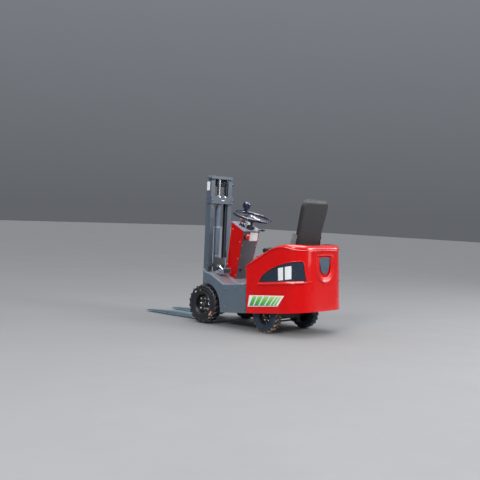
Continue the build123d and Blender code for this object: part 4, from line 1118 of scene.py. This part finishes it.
def dash(x, y, out=0.0):
    return P(x, y, 1104 - (-137 - x) * 97 / 188) + DN * out / 1000


# edging on the dash, both long sides: the +y one in the pink print colour as a painted highlight, the -y one zinc
for s in (1, -1):
    con.tube([dash(-139, s * 135, 0.6), dash(-232, s * 135, 0.6), dash(-322, s * 135, 0.6)], 0.0022, 1 if s > 0 else 3, 8)
# boot at the foot of the column, collar at its top
CU = Vector((-0.2588, 0, 0.9659))
foot = P(-281, 0, 1034)
prof = [(-0.006, 0)]
for k in range(11):
    t = k / 10.0
    prof.append((-0.004 + 0.034 * t, 0.036 - 0.0085 * t + (0.0026 if k % 2 else 0.0)))
prof += [(0.033, 0.0256), (0.033, 0)]
con.lathe(prof, foot, CU, 40, 5)
top_c = P(-314, 0, 1160) - CU * 0.020
con.lathe([(-0.040, 0), (-0.040, 0.0262), (-0.038, 0.030), (-0.004, 0.032), (0.0, 0.028), (0.0, 0)], top_c, CU, 36, 4)
# direction switch on the column, with its stalk
con.box(P(-310, 14, 1072), P(-276, 46, 1100), 0, 0.004)
con.tube(smooth_path([P(-292, 44, 1088), P(-296, 80, 1096), P(-300, 118, 1104)], 5), 0.0045, 4, 10)
con.tube([P(-299, 112, 1103), P(-303, 144, 1110)], 0.0085, 4, 14, radii=[0.007, 0.0095])
# small switch box, key switch and gauge
con.box(dash(-284, -46, -2), dash(-284, -46, -2) + Vector((-0.034, 0.030, 0.022)), 4, 0.003)
c_ = dash(-262, -74)
con.lathe([(0, 0), (0, 0.016), (0.003, 0.016), (0.005, 0.013), (0.014, 0.012), (0.016, 0.009), (0.016, 0)], c_, DN, 24, 4)
con.prism([(-0.002, 0), (0.002, 0), (0.002, 0.016), (-0.002, 0.016)], 0.010, c_ + DN * 0.015, Vector((0, 1, 0)), DN, 3)
c_ = dash(-208, -62)
con.lathe([(0, 0), (0, 0.034), (0.004, 0.034), (0.006, 0.031), (0.004, 0.029), (0.0038, 0)], c_, DN, 40, 4)
con.lathe([(0.0036, 0), (0.0036, 0.0288), (0.0042, 0.0288), (0.0042, 0)], c_, DN, 40, 6)
for k in range(9):
    w = math.radians(-210 + k * 30)
    q = c_ + DN * 0.0043 + (Vector((0, 1, 0)) * math.sin(w) - DA * math.cos(w)) * 0.024
    con.sphere(q, 0.0013, 4, 8)
con.tube([c_ + DN * 0.005, c_ + DN * 0.005 + (Vector((0, 1, 0)) * 0.5 - DA * 0.86) * 0.021], 0.0009, 2, 6)
# coloured knobs on the two upright levers, boots at their feet
for (x, y), tp, mi in (((-214, 68), (-218, 70, 1126), 7), ((-238, 58), (-253, 60, 1111), 8)):
    fz = 1104 - (-137 - x) * 97 / 188
    tip = P(*tp)
    d = (tip - P(x, y, fz - 12)).normalized()
    con.lathe([(-0.016, 0.0), (-0.016, 0.0075), (-0.010, 0.011), (0.0, 0.0142), (0.008, 0.0138), (0.0135, 0.009), (0.0148, 0)], tip, d, 28, mi)
    con.lathe([(-0.004, 0), (-0.004, 0.021), (0.004, 0.019), (0.007, 0.020), (0.011, 0.014), (0.014, 0.015), (0.019, 0.0085), (0.019, 0)], P(x, y, fz) + d * 0.002, d, 28, 5)
con.lathe([(-0.026, 0), (-0.026, 0.008), (-0.010, 0.0115), (0.012, 0.0125), (0.020, 0.0085), (0.022, 0)], P(-364, -130, 1018), Vector((-0.93, -0.32, 0.08)), 24, 4)
con.make("console_trim", ["white", "pink_print_and_highlight", "knob_red", "zinc", "black", "rubber", "dial", "knob_orange", "knob_purple"], "chassis", auto=38, replaces=["emergency_stop_knob"])

# steering wheel: thick rim with grips under it, navy spokes of which the one at 200 degrees is silver as a painted
# highlight, hub, spinner knob
sw = Batch()
WC, WN, WX, WY = P(-314, 0, 1160), Vector((-0.258819, 0, 0.965926)), Vector((0.965926, 0, 0.258819)), Vector((0, 1, 0))


def wheel_at(r, a, h=0.0):
    w = math.radians(a)
    return WC + (WX * math.cos(w) + WY * math.sin(w)) * r / 1000 + WN * h / 1000


rim_pts, rad_ = [], []
for k in range(144):
    a = 360.0 * k / 144
    rim_pts.append(wheel_at(198, a))
    rad_.append((17.0 + 0.8 * math.cos(math.radians(a * 18))) / 1000)
sw.tube(rim_pts, 0.013, 0, 18, closed=True, radii=rad_)
for a in (80, 200, 320):
    secs = []
    for r, hw, h, th in ((28, 30, 4, 5), (60, 33, -1, 5), (100, 27, -6, 4.5), (150, 17, -6, 4), (188, 12, -2, 4)):
        d = math.radians(a)
        e1 = (WX * -math.sin(d) + WY * math.cos(d))
        c = wheel_at(r, a, h)
        secs.append([c + e1 * (hw * k1) / 1000 + WN * (th * k2) / 1000 for k1, k2 in
                     ((-1, 0), (-0.82, 0.75), (-0.4, 0.62), (0, 0.30), (0.4, 0.62), (0.82, 0.75), (1, 0), (0.82, -0.75), (0, -0.9), (-0.82, -0.75))])
    verts = [v for sec in secs for v in sec]
    k = 10
    faces = [tuple(range(k - 1, -1, -1)), tuple((len(secs) - 1) * k + i for i in range(k))]
    for i in range(len(secs) - 1):
        for j in range(k):
            j2 = (j + 1) % k
            faces.append((i * k + j, i * k + j2, (i + 1) * k + j2, (i + 1) * k + j))
    # spoke at 200 degrees in silver: a painted highlight on a navy spoke
    sw.put(verts, faces, 0 if a != 200 else 4)
sw.lathe([(-0.016, 0), (-0.016, 0.032), (-0.012, 0.036), (0.006, 0.037), (0.013, 0.034), (0.014, 0.029), (0.012, 0.027), (0.0155, 0.020), (0.017, 0)], WC, WN, 48, 1)
sw.lathe([(0.012, 0), (0.012, 0.021), (0.0175, 0.019), (0.019, 0.014), (0.0195, 0)], WC, WN, 40, 3)
kb = wheel_at(198, -24)
sw.lathe([(0.0, 0), (0.0, 0.019), (0.030, 0.020), (0.038, 0.031), (0.048, 0.0385), (0.058, 0.0435), (0.072, 0.046), (0.094, 0.046), (0.108, 0.041), (0.116, 0.030), (0.120, 0.015), (0.121, 0)], kb, WN, 40, 0)
sw.lathe([(-0.014, 0), (-0.014, 0.019), (-0.010, 0.0205), (0.012, 0.0205), (0.016, 0.017), (0.016, 0)], kb, WN, 28, 3)
sw.make("steering_wheel_detail", ["navy", "silver", "rim", "black", "silver"], "steering_wheel_body", auto=40, replaces=["steering_wheel"], slot="wheel_black")

# ------------------------------------------------------------------ floor, pedals, chassis
ped = Batch()
for y in range(184, 286, 11):
    ped.box(P(-198.5, y, 553), P(-195.5, y + 6, 596), 1, 0.0008)
ped.box(P(-196.5, 175, 547.5), P(-185.5, 291, 601.5), 0, 0.002)
ped.tube([P(-190, 190, 565), P(-126, 190, 530)], 0.0068, 0, 12)
UP = Vector((73, 0, 31)).normalized()
NP = Vector((-31, 0, 73)).normalized()
for y0, y1 in ((206, 284), (-236, -176)):
    for k in range(6):
        o = P(-148, 0, 540.5) + UP * (0.008 + 0.0115 * k) + NP * -0.0005
        a, b = o + Vector((0, (y0 + 5) / 1000, 0)), o + Vector((0, (y1 - 5) / 1000, 0))
        ped.tube([a, b], 0.0022, 1, 8)
ped.tube(smooth_path([P(-74, 150, 782), P(-86, 150, 700), P(-93, 150, 624), P(-71, 150, 584), P(-15, 150, 545)], 6), 0.0075, 0, 14)
ped.lathe([(-0.002, 0), (-0.002, 0.0105), (0.0, 0.0115), (0.066, 0.0125), (0.076, 0.010), (0.078, 0)], P(-87, 150, 712), Vector((0.15, 0, 1)), 20, 2)
ped.box(P(-36, 140, 542), P(4, 143, 575), 0, 0.0008)
ped.box(P(-36, 157, 542), P(4, 160, 575), 0, 0.0008)
ped.bolt(P(-16, 160, 560), (0, 1, 0), 0.007, 0.006, 3)
ped.make("pedal_trim", ["pedal", "rubber", "rubber", "cylinder"], "chassis", auto=38)

chs = Batch()
for s in (1, -1):
    for x, z in ((-375, 451.0), (-563, 469.5)):
        chs.bolt(P(x, s * 397, z), (0, 0, 1), 0.0075, 0.0065, 0)
    for x, z in ((-330, 210), (-620, 225), (-330, 400), (-470, 425), (-620, 440)):
        chs.bolt(P(x, s * 404.3, z), (0, s, 0), 0.008, 0.006, 1)
    chs.put([P(-30, s * 374, 551), P(20, s * 374, 558), P(10, s * 374, 590), P(-30, s * 380, 551), P(20, s * 380, 558), P(10, s * 380, 590)],
            [(0, 1, 2), (5, 4, 3), (0, 3, 4, 1), (1, 4, 5, 2), (2, 5, 3, 0)], 0)
    # top flange strip along the side plate, in the lighter chassis paint as a painted highlight
    edge = [(10, 556, 376.4), (-92, 536, 385.5), (-300, 446.6, 404.6), (-306, 444, 404.6), (-596, 473.2, 404.6)]
    verts, faces = [], []
    for x, z, yo in edge:
        for dy, dz in ((0.6, -7), (0.6, 2.2), (-0.6, 3.4), (-25, 3.4), (-26, 2.4), (-26, -1)):
            verts.append(P(x, s * (yo + dy), z + dz))
    for i in range(len(edge) - 1):
        for j in range(6):
            j2 = (j + 1) % 6
            faces.append((i * 6 + j, i * 6 + j2, i * 6 + 6 + j2, i * 6 + 6 + j))
    faces.append((5, 4, 3, 2, 1, 0))
    faces.append(tuple((len(edge) - 1) * 6 + j for j in range(6)))
    chs.put(verts, faces, 4)
chs.tube([P(-150, 172, 514), P(-306, 166, 446), P(-400, 164, 455)], 0.004, 3, 8)
chs.make("chassis_trim", ["zinc", "chassis", "pink_print_and_highlight", "dash", "chassis_flange_highlight"], "chassis", auto=38)

# ------------------------------------------------------------------ mast
mo = Batch()
LX = 196.0
for z in (1019.5, 696.0):
    mo.lathe([(0, 0.0315), (0, 0.0335), (0.002, 0.0345), (0.010, 0.0345), (0.012, 0.0335), (0.012, 0.0315)], P(LX, 0, z), (0, 0, 1), 48, 6)
    mo.box(P(188, -66, z + 2), P(200, -31, z + 9), 6, 0.001)
mo.lathe([(0, 0.030), (0, 0.0365), (0.003, 0.0375), (0.022, 0.0375), (0.026, 0.034), (0.0285, 0.0225), (0.0285, 0.0203), (0.0, 0.0203)], P(LX, 0, 1263), (0, 0, 1), 48, 1)
for s in (1, -1):
    # leaf-chain anchor stud through the tab on the tie bar
    y = s * 52
    mo.tube([P(159, y, 1322), P(159, y, 1372)], 0.0042, 0, 12)
    mo.bolt(P(159, y, 1350), (0, 0, -1), 0.0085, 0.008, 0)
    mo.bolt(P(159, y, 1339), (0, 0, -1), 0.0085, 0.006, 0, washer=False)
    mo.box(P(155, y - 8.5, 1366), P(163, y + 8.5, 1376), 0, 0.001)
    mo.bolt(P(132, s * 45, 1357), (-1, 0, 0), 0.009, 0.006, 0)
    mo.bolt(P(132, s * 158, 1326), (-1, 0, 0), 0.009, 0.006, 4)
    # side bolts, weld-on stops and pivot pin caps
    for x, z in ((172, 617.8), (172, 560), (196, 1350), (196, 1304)):
        mo.bolt(P(x, s * (168 if z < 1000 else 176), z), (0, s, 0), 0.008, 0.006, 4)
    mo.lathe([(0, 0), (0, 0.021), (0.004, 0.021), (0.006, 0.019), (0.006, 0)], P(96, s * 144, 212), (0, s, 0), 32, 0)
    mo.lathe([(0, 0), (0, 0.021), (0.004, 0.021), (0.006, 0.019), (0.006, 0)], P(96, s * 114, 212), (0, -s, 0), 32, 0)
    # tilt rod pin head
    mo.lathe([(0, 0), (0, 0.013), (0.004, 0.013), (0.0055, 0.011), (0.0055, 0)], P(86, s * 84, 600), (0, s, 0), 24, 0)
mo.box(P(130.6, -32, 1319), P(132.4, 16, 1329), 2, 0.0004)
mo.lathe([(0, 0), (0, 0.008), (0.010, 0.008), (0.012, 0.0105), (0.024, 0.0105), (0.026, 0.007), (0.034, 0.006), (0.034, 0)], P(152, 96, 1286), (0, 0, -1), 6, 3)
mo.prism([(v[0] / 1000, v[1] / 1000) for v in round_poly([(0, 0), (44, 0), (44, 96), (0, 96)], 3)], 0.0008, P(215, 168, 1428), Vector((-1, 0, 0)), Vector((0, 0, 1)), 2, lift=0.0001)
mo.lathe([(-0.002, 0), (-0.002, 0.022), (0.004, 0.024), (0.018, 0.024), (0.024, 0.021), (0.031, 0.020), (0.034, 0.016), (0.034, 0)], P(172, -168, 1508), (0, -1, 0), 36, 5)
mo.make("outer_mast_trim", ["zinc", "cylinder", "white", "brass", "mast", "blue_lamp", "dash"], "mast_outer", auto=38)

SHEAVE_Z, SHEAVE_X, CH_R = 1514.0, 194.5, 0.0355


def chain_run(b, pts, y, mi=0, pin=1):
    """Leaf chain: rows of small figure-eight plates on pins, along points 13 mm apart."""
    for i in range(len(pts) - 1):
        p, q = Vector(pts[i]), Vector(pts[i + 1])
        d = (q - p).normalized()
        side = Vector((0, 1, 0)).cross(d).normalized()
        L_ = (q - p).length
        outline = []
        for k in range(7):
            w = math.pi * k / 6 - math.pi / 2
            outline.append((L_ + 0.0042 * math.cos(w), 0.0042 * math.sin(w)))
        for k in range(7):
            w = math.pi * k / 6 + math.pi / 2
            outline.append((0.0042 * math.cos(w), 0.0042 * math.sin(w)))
        offs = (-6.6, -1.4, 3.8) if i % 2 else (-4.0, 1.2, 6.4)
        for o in offs:
            b.prism(outline, 0.0022, p + Vector((0, (y + o - 1.1) / 1000, 0)), d, d.cross(Vector((0, 1, 0))) * -1 if False else Vector((0, 1, 0)).cross(d), mi)
        b.lathe([(-0.0079, 0), (-0.0079, 0.0017), (0.0079, 0.0017), (0.0079, 0)], p + Vector((0, y / 1000, 0)), (0, 1, 0), 8, pin)


fc, rc = Batch(), Batch()
for s in (1, -1):
    y = 52.0 * s
    pts = []
    n = int((SHEAVE_Z - 322) / 13.0)
    for k in range(n + 1):
        pts.append(P(230, 0, 322 + (SHEAVE_Z - 322) * k / n))
    m = 9
    for k in range(1, m + 1):
        w = math.pi * k / m
        pts.append(P(SHEAVE_X + 35.5 * math.cos(w), 0, SHEAVE_Z + 35.5 * math.sin(w)))
    chain_run(fc, pts, y)
    fc.box(P(222, y - 12, 298), P(239.4, y + 12, 312), 3, 0.0015)
    fc.tube([P(230, y, 286), P(230, y, 322)], 0.0042, 3, 12)
    fc.bolt(P(230, y, 298), (0, 0, -1), 0.0085, 0.007, 3)
    n = 10
    chain_run(rc, [P(159, 0, 1377 + (SHEAVE_Z - 1377) * k / n) for k in range(n + 1)], y)
    # sheave: grooved wheel on a pin between two hangers under the head bar
    r = 31.0
    fc.lathe([(-0.0105, 0.010), (-0.0105, 0.0385), (-0.0090, 0.0385), (-0.0082, r / 1000), (0.0082, r / 1000), (0.0090, 0.0385), (0.0105, 0.0385), (0.0105, 0.010), (-0.0105, 0.010)],
             P(SHEAVE_X, y, SHEAVE_Z), (0, 1, 0), 48, 2)
    fc.lathe([(-0.017, 0), (-0.017, 0.0095), (0.017, 0.0095), (0.017, 0)], P(SHEAVE_X, y, SHEAVE_Z), (0, 1, 0), 24, 3)
    for o in (-14, 14):
        fc.box(P(SHEAVE_X - 13, y + o - 2.2, SHEAVE_Z - 16), P(SHEAVE_X + 13, y + o + 2.2, 1560), 4, 0.001)
fc.make("lift_chain_front_links", ["chain", "zinc", "mast_inner", "zinc", "mast_inner"], "mast_inner", auto=38, replaces=["lift_chain_front"], slot="chain_steel")
rc.make("lift_chain_rear_links", ["chain", "zinc"], "mast_outer", auto=38, replaces=["lift_chain_rear"], slot="chain_steel")

# carriage: chain anchors, load backrest hooks, locking pins, roller rims
ca = Batch()
for s in (1, -1):
    y = 52 * s
    fy = 202 * s
    ca.box(P(238, fy - 36, 326), P(291, fy + 36, 341), 2, 0.003)
    ca.box(P(232, fy - 36, 312), P(241, fy + 36, 340), 2, 0.002)
    ca.lathe([(0, 0), (0, 0.008), (0.010, 0.008), (0.011, 0.010), (0.016, 0.010), (0.017, 0.008), (0.017, 0)], P(268, fy, 333), (0, 0, 1), 24, 1)
    ca.box(P(236, fy - 30, 42), P(262.5, fy + 30, 53.5), 2, 0.0015)
    for z in (90, 293):
        ca.bolt(P(261, s * 60, z), (1, 0, 0), 0.009, 0.006, 1)
for y in (-120, -60, 0, 60, 120, 180, -180):
    ca.box(P(244, y - 4, 327.0), P(257, y + 4, 328.4), 3, 0.0004)
ca.make("carriage_trim", ["mast", "zinc", "fork", "rubber"], "carriage", auto=38)

for name, s in (("left", 1), ("right", -1)):
    y0, y1 = s * 202 - 40, s * 202 + 40
    prof = [(262, 334), (290, 334)]
    prof += [(290, 68)] + [(306 - 16 * math.cos(math.pi / 2 * k / 6), 64 - 16 * math.sin(math.pi / 2 * k / 6)) for k in range(1, 7)]
    prof += [(640, 48), (1020, 25.5), (1048, 22.5), (1058, 19.5), (1058, 16.5), (1046, 14.2), (640, 20), (292, 20)]
    prof += [(292 - 30 * math.sin(math.pi / 2 * k / 6), 50 - 30 * math.cos(math.pi / 2 * k / 6)) for k in range(1, 7)]
    bm = bmesh.new()
    k = len(prof)
    va = [bm.verts.new(P(x, y0, z)) for x, z in prof]
    vb = [bm.verts.new(P(x, y1, z)) for x, z in prof]
    bm.faces.new(va)
    bm.faces.new(list(reversed(vb)))
    for i in range(k):
        j = (i + 1) % k
        bm.faces.new((va[j], va[i], vb[i], vb[j]))
    # taper the blade in plan toward the tip
    for v in bm.verts:
        x = v.co.x * 1000 - SX
        if x > 900:
            q = (x - 900) / 158.0
            v.co.y = s * 0.202 + (v.co.y - s * 0.202) * (1 - 0.32 * q * q)
    bmesh.ops.recalc_face_normals(bm, faces=bm.faces)
    ed = [e for e in bm.edges if abs((e.verts[0].co - e.verts[1].co).y) < 0.001 or e.calc_face_angle(0) > 0.7]
    bmesh.ops.bevel(bm, geom=ed, offset=0.0022, segments=2, profile=0.6, affect="EDGES", clamp_overlap=True)
    bm.verts.index_update()
    fv, ff = [v.co.copy() for v in bm.verts], [[v.index for v in f.verts] for f in bm.faces]
    bm.free()
    add("fork_%s_forged" % name, fv, ff, "fork", "carriage", auto=35, replaces=["fork_" + name], slot="fork_steel")

# ------------------------------------------------------------------ stage and light
floor_me = bpy.data.meshes.new("stage_floor")
floor_me.from_pydata([(-40, -40, 0), (40, -40, 0), (40, 40, 0), (-40, 40, 0)], [], [(0, 1, 2, 3)])
floor_ob = bpy.data.objects.new("stage_floor", floor_me)
scene.collection.objects.link(floor_ob)
fm = material("stage_pale", [0.26, 0.26, 0.265], 0.75, vary=0.02, vary_scale=0.6)
floor_me.materials.append(fm)

world = bpy.data.worlds.new("world")
scene.world = world
world.use_nodes = True
wt = world.node_tree
bg = wt.nodes["Background"]
w_tc, w_sep, w_map, w_ramp = (wt.nodes.new(k) for k in ("ShaderNodeTexCoord", "ShaderNodeSeparateXYZ", "ShaderNodeMapRange", "ShaderNodeValToRGB"))
wt.links.new(w_tc.outputs["Generated"], w_sep.inputs[0])
wt.links.new(w_sep.outputs["Z"], w_map.inputs["Value"])
w_map.inputs["From Min"].default_value = 0.0
w_map.inputs["From Max"].default_value = 1.0
wt.links.new(w_map.outputs["Result"], w_ramp.inputs[0])
w_ramp.color_ramp.elements[0].color = (0.12, 0.127, 0.14, 1)
w_ramp.color_ramp.elements[1].color = (1.0, 1.0, 1.0, 1)
for at_, c_ in ((0.35, (0.22, 0.235, 0.26, 1)), (0.70, (0.62, 0.65, 0.70, 1)), (0.86, (1.2, 1.25, 1.3, 1))):
    el = w_ramp.color_ramp.elements.new(at_)
    el.color = c_
w_ramp.color_ramp.elements[-1].color = (2.2, 2.2, 2.25, 1)
wt.links.new(w_ramp.outputs[0], bg.inputs[0])
bg.inputs[1].default_value = 1.0


def area(name, loc, target, size, power, color=(1, 1, 1), size_y=None, gloss=False):
    d = bpy.data.lights.new(name, "AREA")
    d.energy = power
    d.color = color
    d.size = size
    if size_y:
        d.shape = "RECTANGLE"
        d.size_y = size_y
    o = bpy.data.objects.new(name, d)
    scene.collection.objects.link(o)
    o.location = loc
    o.rotation_euler = (Vector(target) - Vector(loc)).to_track_quat("-Z", "Y").to_euler()
    if gloss:
        o.visible_diffuse = False
    return o


area("key_left", (-4.0, 9.5, 6.5), (-0.4, 0, 0.6), 3.0, 670, size_y=2.4)
area("fill_rear", (-7.5, -2.2, 4.2), (-0.9, 0, 0.6), 2.4, 300, size_y=1.8)
area("rim_right", (-3.6, -6.5, 3.4), (-0.9, 0, 0.9), 1.8, 110, size_y=1.6)
area("corner_panel", (-8.9, -1.8, 2.35), (-1.2, 0.1, 1.0), 2.6, 45, size_y=2.6, gloss=True)
area("scoop_panel", (-5.6, -3.2, 3.9), (-1.2, 0, 0.7), 4.4, 300, size_y=2.4, gloss=True)
area("zenith_panel", (-1.2, 0.5, 5.2), (-0.9, 0.2, 0.8), 4.4, 460, size_y=4.4, gloss=True)
